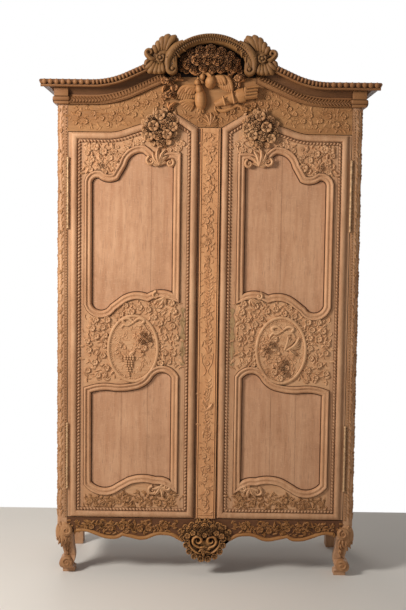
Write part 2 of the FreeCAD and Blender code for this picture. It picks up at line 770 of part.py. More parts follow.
# Side frames
back_right_post = back_post()
side_middle = (side_in + side_out) / 2
panel_levels = []
side_rails = []
level_low = (knee_height, (knee_height + carcass_top) / 2 - side_rail_heights[1] / 2,
             carcass_top - side_rail_heights[2])
for low, height in zip(level_low, side_rail_heights):
    rail = box(side_in, side_out, post_back, back_post_front, low, low + height)
    ends = [side_tenon(side_middle, post_back - tenon_length, post_back, low, low + height),
            side_tenon(side_middle, back_post_front, back_post_front + tenon_length, low, low + height)]
    right_post = right_post.cut(ends[0])
    back_right_post = back_right_post.cut(ends[1])
    side_rails.append(joined([rail] + ends))
    panel_levels.append((low, low + height))
half_panel = panel_thickness / 2
side_panels = []
for (_, low), (high, _) in zip(panel_levels, panel_levels[1:]):
    board = box(side_middle - half_panel, side_middle + half_panel, post_back - panel_groove,
                back_post_front + panel_groove, low - panel_groove, high + panel_groove)
    side_panels.append(board)
    right_post = right_post.cut(board)
    back_right_post = back_right_post.cut(board)
    side_rails = [rail.cut(board) for rail in side_rails]

# Back frame
back_middle = back_face - back_rail_thickness / 2
muntin_half = muntin_width / 2
top_rail_low = carcass_top - back_rail_height
back_levels = (knee_height, (knee_height + top_rail_low) / 2, top_rail_low)
back_rails = []
for low in back_levels:
    rail = box(-lip_in, lip_in, back_face - back_rail_thickness, back_face, low, low + back_rail_height)
    right_tenon = tenon(lip_in, lip_in + tenon_length, back_middle, low, low + back_rail_height)
    back_right_post = back_right_post.cut(right_tenon)
    back_rails.append(joined([rail, right_tenon, mirror(right_tenon)]))
muntins = []
back_panels = []
for low, high in zip(back_levels, back_levels[1:]):
    low_edge = low + back_rail_height
    muntin = box(-muntin_half, muntin_half, back_face - back_rail_thickness, back_face, low_edge, high)
    board = box(muntin_half - panel_groove, lip_in + panel_groove, back_middle - half_panel,
                back_middle + half_panel, low_edge - panel_groove, high + panel_groove)
    back_panels += [board, mirror(board)]
    back_right_post = back_right_post.cut(board)
    muntins.append(muntin.cut([board, mirror(board)]))
    back_rails = [rail.cut([board, mirror(board)]) for rail in back_rails]

# Hinges
post_halves = []
door_halves = []
door_leaves = []
for bottom, length in zip(hinge_bottoms, hinge_lengths):
    post_half, door_half, post_leaf, door_leaf = hinge_halves(bottom, length)
    right_post = right_post.cut(post_leaf)
    post_halves += [post_half, mirror(post_half)]
    door_halves.append(door_half)
    door_leaves.append(door_leaf)
save("post_hinge_halves", *post_halves)
save("front_post_right", right_post)
save("front_post_left", mirror(right_post))
save("back_post_right", back_right_post)
save("back_post_left", mirror(back_right_post))
save("apron_rail", apron)
save("frieze_rail", frieze)
save("carcass_pegs", *peg_solids)
save("side_rails_right", *side_rails)
save("side_rails_left", *[mirror(rail) for rail in side_rails])
save("side_panels_right", *side_panels)
save("side_panels_left", *[mirror(board) for board in side_panels])
save("back_rails_and_muntins", *back_rails, *muntins)
save("back_panels", *back_panels)

# Floor, roof, shelves and cleats
floor_low = apron_top
floor_top = floor_low + floor_thickness
whole_floor = notched_board(0, floor_low, floor_thickness)
floor_half = box(0, half_width, front, back, floor_low, floor_top)
save("floor_boards", whole_floor.common(floor_half), whole_floor.common(mirror(floor_half)))
roof_edge = half_width - cornice_bed
roof_front = board_front + stop_gap
roof_board = box(0, roof_edge, roof_front, back, carcass_top, carcass_top + roof_thickness)
save("roof_boards", mirror(roof_board), roof_board)
cleats = []
cleat_in = side_in - cleat_width
floor_cleat = box(cleat_in, side_in, post_back, back_post_front, floor_low - cleat_height, floor_low)
cleats += [floor_cleat, mirror(floor_cleat)]
for number, height in enumerate(shelf_heights):
    cleat = box(cleat_in, side_in, post_back, back_post_front, height - cleat_height, height)
    cleats += [cleat, mirror(cleat)]
    shelf = notched_board(shelf_setback, height, shelf_thickness)
    save("shelf_" + ("lower", "middle", "upper")[number], shelf)
save("shelf_cleats", *cleats)

# Doors
lock_hole = keyhole(front - overrun, door_back + overrun)
hinge_stile, meeting_stile, plain_stile, rails, boards, lengths = door_parts(lock_hole)
hinge_stile = hinge_stile.cut(door_leaves)
boss = medallion().cut(lengths)
rails[1] = joined([rails[1], boss])
plate = escutcheon()
right_bouquet = bunch(bouquet_shares, bouquet_x, bouquet_width, bouquet_bottom, bouquet_height,
                      bouquet_reach, front)
for side in ("right", "left"):
    turn = mirror if side == "left" else (lambda shape: shape)
    save(side + "_door_hinge_stile", turn(hinge_stile))
    save(side + "_door_meeting_stile", turn(plain_stile if side == "left" else meeting_stile))
    for name, rail in zip(("bottom", "middle", "top"), rails):
        save(side + "_door_" + name + "_rail", turn(rail))
    save(side + "_door_panels", *[turn(board) for board in boards])
    save(side + "_door_mouldings", *[turn(length) for length in lengths])
    save(side + "_door_bouquet", turn(right_bouquet))
    save(side + "_door_escutcheon", turn(plate if side == "left" else plate.cut(lock_hole)))
    save(side + "_door_hinge_halves", *[turn(half) for half in door_halves])

# Mullion strip on the left door, with its tongue behind the door's edge
mullion_half = mullion_width / 2
strip = box(-mullion_half, mullion_half, front - mullion_lift, door_back, door_bottom, chamfer_height)
tongue = box(-door_in, -mullion_half, door_back - mullion_tongue, door_back, door_bottom, chamfer_height)
save("mullion", joined([strip, tongue]))

# Lock on the right door, and its keeper behind the mullion
lock_x0 = door_in + lock_setback
lock_low = keyhole_height - lock_height / 2
lock_back = door_back + lock_depth
bolt_y = door_back + lock_depth / 2
half_bolt = bolt_thickness / 2
case = box(lock_x0, lock_x0 + lock_width, door_back, lock_back, lock_low, lock_low + lock_height)
bolt_z0 = keyhole_height + bolt_height
bolt_z1 = bolt_z0 + bolt_height
room_y0 = bolt_y - half_bolt - bolt_clearance
room_y1 = bolt_y + half_bolt + bolt_clearance
bolt = box(lock_x0, lock_x0 + bolt_length, bolt_y - half_bolt, bolt_y + half_bolt, bolt_z0, bolt_z1)
room = box(lock_x0 - overrun, lock_x0 + bolt_length + lock_wall, room_y0, room_y1,
           bolt_z0 - bolt_clearance, bolt_z1 + bolt_clearance)
case = case.cut(room).cut(keyhole(door_back, bolt_y))
save("lock_case", case)
save("lock_bolt", bolt)
keeper_x1 = mullion_half - lock_setback
pocket_x0 = lock_x0 - bolt_travel - lock_setback
keeper = box(pocket_x0 - keeper_wall, keeper_x1, door_back, lock_back, bolt_z0 - keeper_wall,
             bolt_z1 + keeper_wall)
pocket = box(pocket_x0, keeper_x1 + overrun, room_y0, room_y1, bolt_z0 - bolt_clearance,
             bolt_z1 + bolt_clearance)
save("lock_keeper", keeper.cut(pocket))

# Sliding bolt on the back of the left door, its guides and its keeper on the frieze
slide_half = slide_width / 2
slide_y0 = board_front + bolt_clearance
slide_y1 = slide_y0 + slide_thickness
slide_low = slide_top - slide_length
knob_height = slide_low + slide_knob_diameter
slide = box(-slide_x - slide_half, -slide_x + slide_half, slide_y0, slide_y1, slide_low, slide_top)
knob = rod(slide_knob_diameter, Vector(-slide_x, slide_y1, knob_height), Vector(0, 1, 0), slide_knob_length)
slide_room = box(-slide_x - slide_half - bolt_clearance, -slide_x + slide_half + bolt_clearance, board_front,
                 slide_y1 + bolt_clearance, slide_low, slide_top + overrun)
guide_reach = slide_half + bolt_clearance + guide_wall
guides = []
lower_guide = knob_height + slide_knob_diameter / 2 + slide_travel + slide_gap
for low in (lower_guide, slide_top - slide_length / 3):
    guide = box(-slide_x - guide_reach, -slide_x + guide_reach, door_back,
                slide_y1 + bolt_clearance + guide_wall, low, low + guide_height)
    guides.append(guide.cut(slide_room))
save("left_door_bolt", joined([slide, knob]))
save("bolt_guides", *guides)
slide_keeper = box(-slide_x - guide_reach, -slide_x + guide_reach, board_front,
                   slide_y1 + bolt_clearance + guide_wall, slide_top + slide_gap,
                   slide_top + slide_gap + slide_travel)
save("bolt_keeper", slide_keeper.cut(slide_room))
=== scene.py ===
import math
import random

import bpy
from mathutils import Matrix, Vector


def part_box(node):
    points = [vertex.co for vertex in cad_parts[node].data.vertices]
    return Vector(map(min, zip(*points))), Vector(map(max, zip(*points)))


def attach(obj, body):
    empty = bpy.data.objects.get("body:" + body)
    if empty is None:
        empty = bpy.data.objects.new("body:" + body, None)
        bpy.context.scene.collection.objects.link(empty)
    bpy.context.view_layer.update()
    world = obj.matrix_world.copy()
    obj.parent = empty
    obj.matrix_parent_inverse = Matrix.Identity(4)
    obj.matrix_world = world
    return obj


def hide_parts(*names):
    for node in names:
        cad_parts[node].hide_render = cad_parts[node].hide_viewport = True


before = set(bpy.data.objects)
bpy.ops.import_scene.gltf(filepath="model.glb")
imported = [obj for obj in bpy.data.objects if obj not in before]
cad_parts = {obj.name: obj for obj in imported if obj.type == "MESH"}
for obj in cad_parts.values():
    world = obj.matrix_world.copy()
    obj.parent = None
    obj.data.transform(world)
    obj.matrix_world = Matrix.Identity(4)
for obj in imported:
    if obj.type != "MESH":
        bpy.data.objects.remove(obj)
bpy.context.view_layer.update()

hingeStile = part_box("right_door_hinge_stile")
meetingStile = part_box("right_door_meeting_stile")
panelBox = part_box("right_door_panels")
face = hingeStile[0][1]  # front plane of doors, posts and rails
doorIn = meetingStile[0][0]
doorOut = hingeStile[1][0]
doorLow = hingeStile[0][2]
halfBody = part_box("side_rails_right")[1][0] + 0.004
print("frame loaded")


# Shader maths

class Wire:
    def __init__(self, kit, socket):
        self.kit = kit
        self.socket = socket

    def __add__(self, other):
        return self.kit.sum("ADD", self, other)

    def __sub__(self, other):
        return self.kit.sum("SUBTRACT", self, other)

    def __rsub__(self, other):
        return self.kit.sum("SUBTRACT", other, self)

    def __mul__(self, other):
        return self.kit.sum("MULTIPLY", self, other)

    __radd__ = __add__
    __rmul__ = __mul__


class ShaderKit:
    def __init__(self, name):
        self.material = bpy.data.materials.new(name)
        self.material.use_nodes = True
        self.tree = self.material.node_tree
        self.tree.nodes.clear()

    def node(self, kind, settings=None, values=None, out=0):
        made = self.tree.nodes.new("ShaderNode" + kind)
        for key, value in (settings or {}).items():
            if key == "stops":
                ramp = made.color_ramp
                while len(ramp.elements) < len(value):
                    ramp.elements.new(0.5)
                for element, (place, colour) in zip(ramp.elements, value):
                    element.position = place
                    element.color = colour
            else:
                setattr(made, key, value)
        for key, value in (values or {}).items():
            socket = made.inputs[key]
            if isinstance(value, Wire):
                self.tree.links.new(value.socket, socket)
            else:
                socket.default_value = value
        return Wire(self, made.outputs[out]) if len(made.outputs) else made

    def sum(self, operation, first, second):
        return self.node("Math", {"operation": operation}, {0: first, 1: second})

    def blend(self, factor, first, second, mode="MIX"):
        settings = {"data_type": "RGBA", "blend_type": mode, "clamp_factor": True}
        return self.node("Mix", settings, {0: factor, 6: first, 7: second}, out=2)

    def ramp(self, factor, low, high):
        settings = {"interpolation_type": "SMOOTHSTEP"}
        return self.node("MapRange", settings, {0: factor, 1: low, 2: high, 3: 0.0, 4: 1.0})

    def noise(self, vector, scale, detail=3.0, roughness=0.55, out=0):
        values = {"Vector": vector, "Scale": scale, "Detail": detail, "Roughness": roughness}
        return self.node("TexNoise", None, values, out=out)

    def finish(self, **values):
        shader = self.node("BsdfPrincipled", None, values)
        self.node("OutputMaterial", None, {"Surface": shader})
        return self.material


def tone(red, green, blue):  # screen colour as a linear one
    def linear(c):
        c = c / 255
        return c / 12.92 if c <= 0.04045 else ((c + 0.055) / 1.055) ** 2.4
    return (linear(red), linear(green), linear(blue), 1.0)


oakLook = {
    "light": tone(220, 175, 134),
    "mid": tone(201, 153, 113),
    "dark": tone(158, 111, 75),
    # dark colour of the pores, of the painted shade towards the floor and of the painted shade in hollows
    "grimeAndShade": tone(62, 42, 28),
    "fleck": tone(226, 184, 150),
    "bandScale": 42.0,
    "poreScale": 420.0,
    "stretch": 0.06,
    "patinaScale": 3.2,
    # strength of the painted shade towards the floor
    "floorShade": 0.15,
}


# Hollows, creases and gaps get painted shade with a little dark wax; one argument sets its strength, and reach, low and
# edge shape it.
def oak(name, along, tint=None, flecks=0.0, grimeAndShade=1.0, bump=1.0, reach=0.012, edge=0.8, low=0.22):
    look = oakLook
    kit = ShaderKit(name)
    place = kit.node("TexCoord", None, None, out=3)
    squeeze = [1.0, 1.0, 1.0]
    squeeze[along] = look["stretch"]
    along = kit.node("Mapping", None, {"Vector": place, "Scale": squeeze})
    warp = kit.noise(place, 2.5, 2.0, out=1)
    bent = kit.node("VectorMath", {"operation": "MULTIPLY_ADD"},
                    {0: warp, 1: (0.05, 0.05, 0.05), 2: along})
    bands = kit.ramp(kit.noise(bent, look["bandScale"], 4.0, 0.6), 0.32, 0.68)
    fine = kit.noise(bent, look["bandScale"] * 4.5, 3.0, 0.6)
    pores = kit.ramp(kit.noise(along, look["poreScale"], 2.0, 0.5), 0.58, 0.72)
    patina = kit.ramp(kit.noise(place, look["patinaScale"], 4.0, 0.6), 0.3, 0.75)
    blotch = kit.ramp(kit.noise(place, look["patinaScale"] * 7, 3.0, 0.6), 0.45, 0.8)
    colour = kit.blend(bands, look["light"], look["mid"])
    colour = kit.blend(patina * 0.35 + blotch * 0.2, colour, look["dark"])
    colour = kit.blend(fine * 0.22, colour, look["dark"])
    colour = kit.blend(pores * 0.28, colour, look["grimeAndShade"])
    height = bands * 0.25 + fine * 0.35 - pores * 0.8
    if flecks:
        spots = kit.node("Mapping", None, {"Vector": place, "Scale": (14.0, 14.0, 70.0)})
        fleck = kit.ramp(kit.noise(spots, 6.0, 3.0, 0.65), 0.56, 0.7)
        colour = kit.blend(fleck * flecks, colour, look["fleck"])
        height = height + fleck * 0.25
    # Painted shade: darker towards the floor, standing for light that falls off downwards.
    nearFloor = 1 - kit.ramp(kit.node("SeparateXYZ", None, {"Vector": place}, out=2), 0.1, 1.5)
    colour = kit.blend(nearFloor * look["floorShade"], colour, look["grimeAndShade"])
    # Painted shade: ambient occlusion darkens hollows, creases and gaps between parts towards the dark colour, partly
    # standing for dark wax there; roughness rises there too.
    hollow = kit.node("AmbientOcclusion", {"samples": 6}, {"Distance": reach}, out=1)
    dirtAndShade = kit.ramp(1 - hollow, low, edge)
    colour = kit.blend(dirtAndShade * 0.82 * grimeAndShade, colour, look["grimeAndShade"])
    if tint:
        colour = kit.blend(1.0, colour, tint, "MULTIPLY")
    rough = 0.5 + fine * 0.16 + dirtAndShade * 0.2
    normal = kit.node("Bump", None, {"Strength": 0.35 * bump, "Distance": 0.0012, "Height": height})
    return kit.finish(**{"Base Color": colour, "Roughness": rough, "Normal": normal,
                         "Specular IOR Level": 0.32})


def metal(name, base, worn, roughness, metallic):
    kit = ShaderKit(name)
    place = kit.node("TexCoord", None, None, out=3)
    spots = kit.ramp(kit.noise(place, 60.0, 5.0, 0.65), 0.42, 0.66)
    fine = kit.noise(place, 420.0, 3.0, 0.6)
    streak = kit.node("Mapping", None, {"Vector": place, "Scale": (1.0, 1.0, 0.1)})
    rubbed = kit.ramp(kit.noise(streak, 190.0, 3.0, 0.6), 0.5, 0.75)
    colour = kit.blend(spots, base, worn)
    colour = kit.blend(rubbed * 0.35, colour, tone(214, 196, 160))
    # Painted shade, partly dirt: ambient occlusion darkens the crevices of the metal towards a near black.
    hollow = kit.node("AmbientOcclusion", {"samples": 6}, {"Distance": 0.006}, out=1)
    dirtAndShade = kit.ramp(1 - hollow, 0.2, 0.9)
    colour = kit.blend(dirtAndShade * 0.7, colour, tone(40, 32, 26))
    normal = kit.node("Bump", None, {"Strength": 0.3, "Distance": 0.0006, "Height": fine + spots * 0.6})
    return kit.finish(**{"Base Color": colour, "Roughness": roughness + fine * 0.2 + spots * 0.1,
                         "Metallic": metallic, "Normal": normal})


woods = {  # way of the grain, tint, then what differs from plain oak
    "oakUpright": (2, (250, 247, 248), {"grimeAndShade": 0.85}),
    "oakMoulding": (2, (262, 256, 254), {"grimeAndShade": 1.25, "edge": 0.6, "low": 0.12}),
    "oakLevel": (0, (264, 261, 257), {"grimeAndShade": 0.85, "low": 0.34, "edge": 0.95}),
    "oakRope": (2, (250, 246, 246), {"grimeAndShade": 0.8, "reach": 0.005, "edge": 0.9}),
    # dark strips for real joints and for painted shade lines in channels and gaps
    "oakJointsAndShadeLines": (2, (112, 92, 70), {}),
    "oakDeep": (1, (246, 240, 236), {}),
    "oakPanel": (2, (255, 249, 254), {"flecks": 0.55, "grimeAndShade": 0.9, "bump": 0.6}),
    "oakCarved": (2, (268, 266, 262), {"grimeAndShade": 1.1, "reach": 0.008, "edge": 0.95, "low": 0.36}),
    "oakMullion": (2, (270, 256, 238), {"grimeAndShade": 1.3, "reach": 0.01, "edge": 0.7}),
    "oakLowCarved": (2, (232, 218, 196), {"grimeAndShade": 1.3, "reach": 0.009, "edge": 0.75, "low": 0.28}),
    # cornice cove darker as painted shade of its hollow, front and sides alike
    "oakShadedCove": (0, (134, 114, 90), {"grimeAndShade": 1.2}),
    "oakShadedCoveSide": (1, (134, 114, 90), {"grimeAndShade": 1.2}),
    "oakCrown": (0, (186, 166, 138), {"grimeAndShade": 1.2, "reach": 0.012, "edge": 0.6}),
    "oakCrest": (2, (172, 158, 126), {"grimeAndShade": 1.3, "reach": 0.014, "edge": 0.6}),
    # dark oak of the niche backboard: painted shade of the hollow niche, with occlusion reaching 7 cm
    "oakNicheShade": (2, (128, 106, 84), {"grimeAndShade": 1.5, "reach": 0.07, "edge": 0.36, "low": 0.06}),
    "oakNiche": (2, (250, 224, 188), {"grimeAndShade": 1.5, "reach": 0.026, "edge": 0.46, "low": 0.17}),
    "oakCrestLight": (0, (228, 208, 174), {"grimeAndShade": 1.3, "reach": 0.012, "edge": 0.6}),
    "oakFrieze": (0, (214, 198, 170), {"grimeAndShade": 1.2, "reach": 0.009, "edge": 0.75}),
    # raised frieze leaves lighter than the frieze ground: painted light on them
    "oakLitFriezeLeaves": (0, (238, 222, 194), {"grimeAndShade": 1.2, "reach": 0.009, "edge": 0.7}),
    "oakBouquet": (0, (255, 246, 230), {"grimeAndShade": 1.5, "reach": 0.02, "edge": 0.56, "low": 0.26}),
    "oakBasket": (0, (255, 236, 190), {"grimeAndShade": 1.5, "reach": 0.02, "edge": 0.44, "low": 0.15}),
    # apron ground darker as painted shade under the doors; its raised leaves lighter as painted light on them
    "oakShadedApron": (0, (132, 110, 88), {"grimeAndShade": 1.2, "reach": 0.012, "edge": 0.6}),
    "oakLitApronLeaves": (0, (216, 194, 150), {"grimeAndShade": 1.3, "reach": 0.01, "edge": 0.6}),
    "oakPost": (2, (232, 220, 202), {"grimeAndShade": 1.0, "reach": 0.007}),
    "oakInside": (2, (168, 150, 130), {}),
    "oakShelf": (0, (184, 168, 150), {}),
}
for name, (grain, tint, changes) in woods.items():
    oak(name, grain, tone(*tint), **changes)
metal("oldIron", tone(200, 160, 118), tone(142, 106, 74), 0.42, 0.45)
metal("tarnishedBrass", tone(172, 136, 94), tone(132, 100, 66), 0.45, 0.55)
print("materials made")


# Modelling helpers

def clearAll():
    bpy.ops.object.select_all(action="DESELECT")


def only(obj):
    clearAll()
    obj.select_set(True)
    bpy.context.view_layer.objects.active = obj


def active(name):
    obj = bpy.context.active_object
    obj.name = name
    obj.data.name = name
    return obj


def wear(obj, look):
    obj.data.materials.clear()
    obj.data.materials.append(bpy.data.materials[look])


def settle(obj, look, body="carcass", replaced=None):
    only(obj)
    bpy.ops.object.transform_apply(location=True, rotation=True, scale=True)
    wear(obj, look)
    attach(obj, body)
    if replaced:
        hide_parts(replaced)


def bothSides(right, look, body="carcass", replaced=None):  # a right piece and its mirror image on the left
    left = mirrorCopy(right, right.name.replace("right", "left").replace("Right", "Left"))
    for obj, side in ((right, "right"), (left, "left")):
        settle(obj, look, body.format(side), replaced and replaced.format(side))


def movedTo(side, right, name):  # a piece made on the right, taken over to the side where it belongs
    if side == "right":
        return right
    left = mirrorCopy(right, name)
    drop(right)
    return left


def inEdit(obj, *steps):  # steps of edit mode on the whole mesh
    only(obj)
    bpy.ops.object.mode_set(mode="EDIT")
    bpy.ops.mesh.select_all(action="SELECT")
    for step, settings in steps:
        step(**settings)
    bpy.ops.object.mode_set(mode="OBJECT")


def cleanMesh(obj, doubles=0.00002):
    inEdit(obj, (bpy.ops.mesh.remove_doubles, {"threshold": doubles}),
           (bpy.ops.mesh.normals_make_consistent, {"inside": False}))


def bevelled(obj, soft, segments=2):
    inEdit(obj, (bpy.ops.mesh.bevel, {"offset": soft, "segments": segments, "affect": "EDGES"}))


def smoothAt(obj, degrees):
    only(obj)
    bpy.ops.object.shade_smooth_by_angle(angle=math.radians(degrees))


def band(name, rings, closed=True):  # surface through rings of equal length, from a grid
    clearAll()
    wide = len(rings[0]) + (1 if closed else 0)
    bpy.ops.mesh.primitive_grid_add(x_subdivisions=wide - 1, y_subdivisions=len(rings) - 1, size=1)
    obj = active(name)
    places = []
    for ring in rings:
        places += list(ring) + ([ring[0]] if closed else [])
    for vertex, place in zip(obj.data.vertices, places):
        vertex.co = place
    return obj


def bandOf(name, rings, degrees, closed=False):
    obj = band(name, rings, closed)
    cleanMesh(obj)
    smoothAt(obj, degrees)
    return obj


def capEnds(obj):
    openEdge = {"extend": False, "use_wire": False, "use_multi_face": False, "use_non_contiguous": False,
                "use_verts": False}
    inEdit(obj, (bpy.ops.mesh.select_all, {"action": "DESELECT"}), (bpy.ops.mesh.select_non_manifold, openEdge),
           (bpy.ops.mesh.edge_face_add, {}), (bpy.ops.mesh.select_all, {"action": "SELECT"}),
           (bpy.ops.mesh.normals_make_consistent, {"inside": False}))


def joinAll(objects, name):
    clearAll()
    for obj in objects:
        obj.select_set(True)
    bpy.context.view_layer.objects.active = objects[0]
    if len(objects) > 1:
        bpy.ops.object.join()
    return active(name)


def copyOf(template, matrix):
    twin = bpy.data.objects.new(template.name, template.data.copy())
    bpy.context.scene.collection.objects.link(twin)
    twin.data.transform(matrix)
    if matrix.determinant() < 0:
        twin.data.flip_normals()
    return twin


def mirrorCopy(obj, name):
    twin = copyOf(obj, Matrix.Scale(-1, 4, Vector((1, 0, 0))))
    twin.name = name
    twin.data.name = name
    return twin


def drop(template):
    bpy.data.objects.remove(template, do_unlink=True)


def shifted(x, y, z):
    return Matrix.Translation((x, y, z))


def turned(angle, axis="Y"):
    return Matrix.Rotation(angle, 4, axis)


def scaled(x, y, z):
    return Matrix.Diagonal((x, y, z, 1))


def onFace(x, z, size, turn=0.0, lift=1.0, depth=0.0, tilt=0.0):
    # a template is modelled 1 long in its own XZ plane with its back at y = 0, and faces -Y
    return shifted(x, face - depth, z) @ turned(-turn) @ turned(tilt, "X") @ scaled(size, size * lift, size)


def offFace(points, height):  # points of a front view, at a height off the face
    return [(x, face - height, z) for x, z in points]


# Outlines

def arcThrough(first, middle, last, steps):
    ax, az = first
    bx, bz = middle
    cx, cz = last
    d = 2 * (ax * (bz - cz) + bx * (cz - az) + cx * (az - bz))
    if abs(d) < 1e-12:
        return [(ax + (cx - ax) * i / steps, az + (cz - az) * i / steps) for i in range(steps)]
    a2, b2, c2 = ax * ax + az * az, bx * bx + bz * bz, cx * cx + cz * cz
    ux = (a2 * (bz - cz) + b2 * (cz - az) + c2 * (az - bz)) / d
    uz = (a2 * (cx - bx) + b2 * (ax - cx) + c2 * (bx - ax)) / d
    radius = math.hypot(ax - ux, az - uz)
    start = math.atan2(az - uz, ax - ux)
    through = (math.atan2(bz - uz, bx - ux) - start) % math.tau
    end = (math.atan2(cz - uz, cx - ux) - start) % math.tau
    sweep = end if through < end else end - math.tau
    return [(ux + radius * math.cos(start + sweep * i / steps),
             uz + radius * math.sin(start + sweep * i / steps)) for i in range(steps)]


def curveThrough(points, steps):  # smooth curve through several points
    made = []
    ends = [points[0]] + list(points) + [points[-1]]
    for i in range(1, len(ends) - 2):
        p0, p1, p2, p3 = (Vector(ends[i + j]) for j in (-1, 0, 1, 2))
        for s in range(steps):
            t = s / steps
            spot = 0.5 * (2 * p1 + (p2 - p0) * t + (2 * p0 - 5 * p1 + 4 * p2 - p3) * t * t
                          + (3 * p1 - p0 - 3 * p2 + p3) * t ** 3)
            made.append(tuple(spot))
    return made


def outline(rows, x0, x1, z0, z1, stepLength=0.012):
    made = []
    for before, row in zip(rows[-1:] + rows[:-1], rows):
        points = [(x0 + (x1 - x0) * u, z0 + (z1 - z0) * v) for u, v in before[-1:] + row]
        length = sum(math.dist(a, b) for a, b in zip(points, points[1:]))
        steps = max(1, round(length / stepLength))
        if len(points) == 2:
            long = max(1, round(length / 0.08))
            made += [(points[0][0] + (points[1][0] - points[0][0]) * i / long,
                      points[0][1] + (points[1][1] - points[0][1]) * i / long) for i in range(long)]
        elif len(points) == 3:
            made += arcThrough(*points, max(4, steps))
        else:
            made += curveThrough(points, max(3, steps // (len(points) - 1)))
    return made


def grown(points, amount, closed=True):  # outline moved out by an amount, with mitred corners
    made = []
    count = len(points)
    area = sum(a[0] * b[1] - b[0] * a[1] for a, b in zip(points, points[1:] + points[:1]))
    side = 1 if area > 0 or not closed else -1
    for i in range(count):
        before = points[i - 1] if closed or i else points[i]
        after = points[(i + 1) % count] if closed or i < count - 1 else points[i]
        here = Vector(points[i])
        a = (here - Vector(before))
        b = (Vector(after) - here)
        a = a.normalized() if a.length else b.normalized()
        b = b.normalized() if b.length else a
        normal = Vector((a[1] + b[1], -a[0] - b[0]))
        normal.normalize()
        stretch = 1 / max(0.45, normal.dot(Vector((a[1], -a[0]))))
        made.append(tuple(here + normal * side * amount * stretch))
    return made


def inside(point, polygon):
    x, z = point
    hit = False
    for (ax, az), (bx, bz) in zip(polygon, polygon[1:] + polygon[:1]):
        if (az > z) != (bz > z) and x < (bx - ax) * (z - az) / (bz - az) + ax:
            hit = not hit
    return hit


def moulding(name, path, section, closed=True):
    # section is pairs of distance outwards from the path and height off the face
    rings = []
    for away, height in section:
        rings.append([(x, face - height, z) for x, z in grown(path, away, closed)])
    return bandOf(name, rings, 40, closed)


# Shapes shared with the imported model, as shares of its boxes
# Each row of a sight starts where the row before it ends, and the first where the last one ends

upperSightShares = [
    [(1.0, 0.81)],
    [(0.98, 0.83), (0.92, 0.84)],
    [(0.8, 0.815), (0.68, 0.83)],
    [(0.58, 0.92)],
    [(0.51, 0.98), (0.38, 1.0)],
    [(0.33, 0.98), (0.28, 0.93)],
    [(0.13, 0.93)],
    [(0.08, 0.955), (0.0, 0.96)],
    [(0.0, 0.12)],
    [(0.15, 0.135), (0.31, 0.11)],
    [(0.47, 0.12), (0.63, 0.09)],
    [(0.77, 0.035)],
    [(0.9, 0.0), (1.0, 0.045)],
]
lowerSightShares = [
    [(1.0, 0.82)],
    [(0.86, 0.84), (0.72, 0.835)],
    [(0.6, 0.835), (0.46, 0.85)],
    [(0.33, 0.885), (0.23, 0.96)],
    [(0.12, 1.0), (0.0, 0.955)],
    [(0.0, 0.07)],
    [(0.08, 0.095), (0.19, 0.1)],
    [(0.38, 0.115), (0.54, 0.09)],
    [(0.68, 0.035)],
    [(0.84, 0.0), (1.0, 0.055)],
]
door = {
    "mouldingWidth": 0.032,
    "upperLow": 1.218,
    "upperHigh": 1.928,
    "lowerLow": 0.402,
    "lowerHigh": 0.94,
    "shoulderX": 0.45,
    "shoulderZ": 2.015,
    "peakX": 0.155,
    "peakZ": 2.103,
    "chamferZ": 2.04,
    "edgeFromHinge": 0.014,
    "edgeFromMeeting": 0.004,
    "edgeFromFoot": 0.002,
    "edgeDrop": 0.002,
    "edgeShares": [(1.0, 1.0), (0.51, 0.46), (0.34, 0.27), (0.17, 0.08), (0.0, 0.0)],
}
sightIn = panelBox[0][0] + door["mouldingWidth"]
sightOut = panelBox[1][0] - door["mouldingWidth"]
upperSight = outline(upperSightShares, sightIn, sightOut, door["upperLow"], door["upperHigh"])
lowerSight = outline(lowerSightShares, sightIn, sightOut, door["lowerLow"], door["lowerHigh"])


def doorEdge():
    x0 = doorIn + door["edgeFromMeeting"]
    x1 = doorOut - door["edgeFromHinge"]
    z0 = doorLow + door["edgeFromFoot"]
    drop = door["edgeDrop"]
    curve = [(door["shoulderX"] + (door["peakX"] - door["shoulderX"]) * u,
              door["shoulderZ"] + (door["peakZ"] - door["shoulderZ"]) * v - drop) for u, v in door["edgeShares"]]
    made = [(x0, z0 + (door["chamferZ"] - z0) * i / 20) for i in range(20)]
    made.append((x0, door["chamferZ"] - drop))
    made.append(((x0 + door["peakX"]) / 2, (door["chamferZ"] + door["peakZ"]) / 2 - drop))
    made += curveThrough(curve, 6)
    made += [curve[-1], (x1, curve[-1][1])]
    made += [(x1, curve[-1][1] + (z0 - curve[-1][1]) * i / 20) for i in range(1, 20)]
    made += [(x1, z0)] + [(x1 + (x0 - x1) * i / 6, z0) for i in range(1, 6)]
    return made


doorPath = doorEdge()


# Panel mouldings: an inner round, a hollow and a bead at the outer edge

panelMoulding = {
    "section": [(0.032, 0.0), (0.032, 0.003), (0.0313, 0.007), (0.0292, 0.0098), (0.0264, 0.0108), (0.0236, 0.01),
        (0.0216, 0.0076), (0.02, 0.005), (0.0176, 0.0038), (0.015, 0.0044), (0.0122, 0.006), (0.009, 0.0066),
        (0.0058, 0.0054), (0.003, 0.0022), (0.001, -0.0022), (0.0, -0.006), (0.0, -0.0098)],
}


def panelMouldings(side):
    name = side + "DoorMouldings"
    right = joinAll([moulding(name, path, panelMoulding["section"]) for path in (upperSight, lowerSight)], name)
    settle(movedTo(side, right, name), "oakMoulding", side + "_door", side + "_door_mouldings")


# Round moulding that frames each door, with a channel for the rope bead inside it

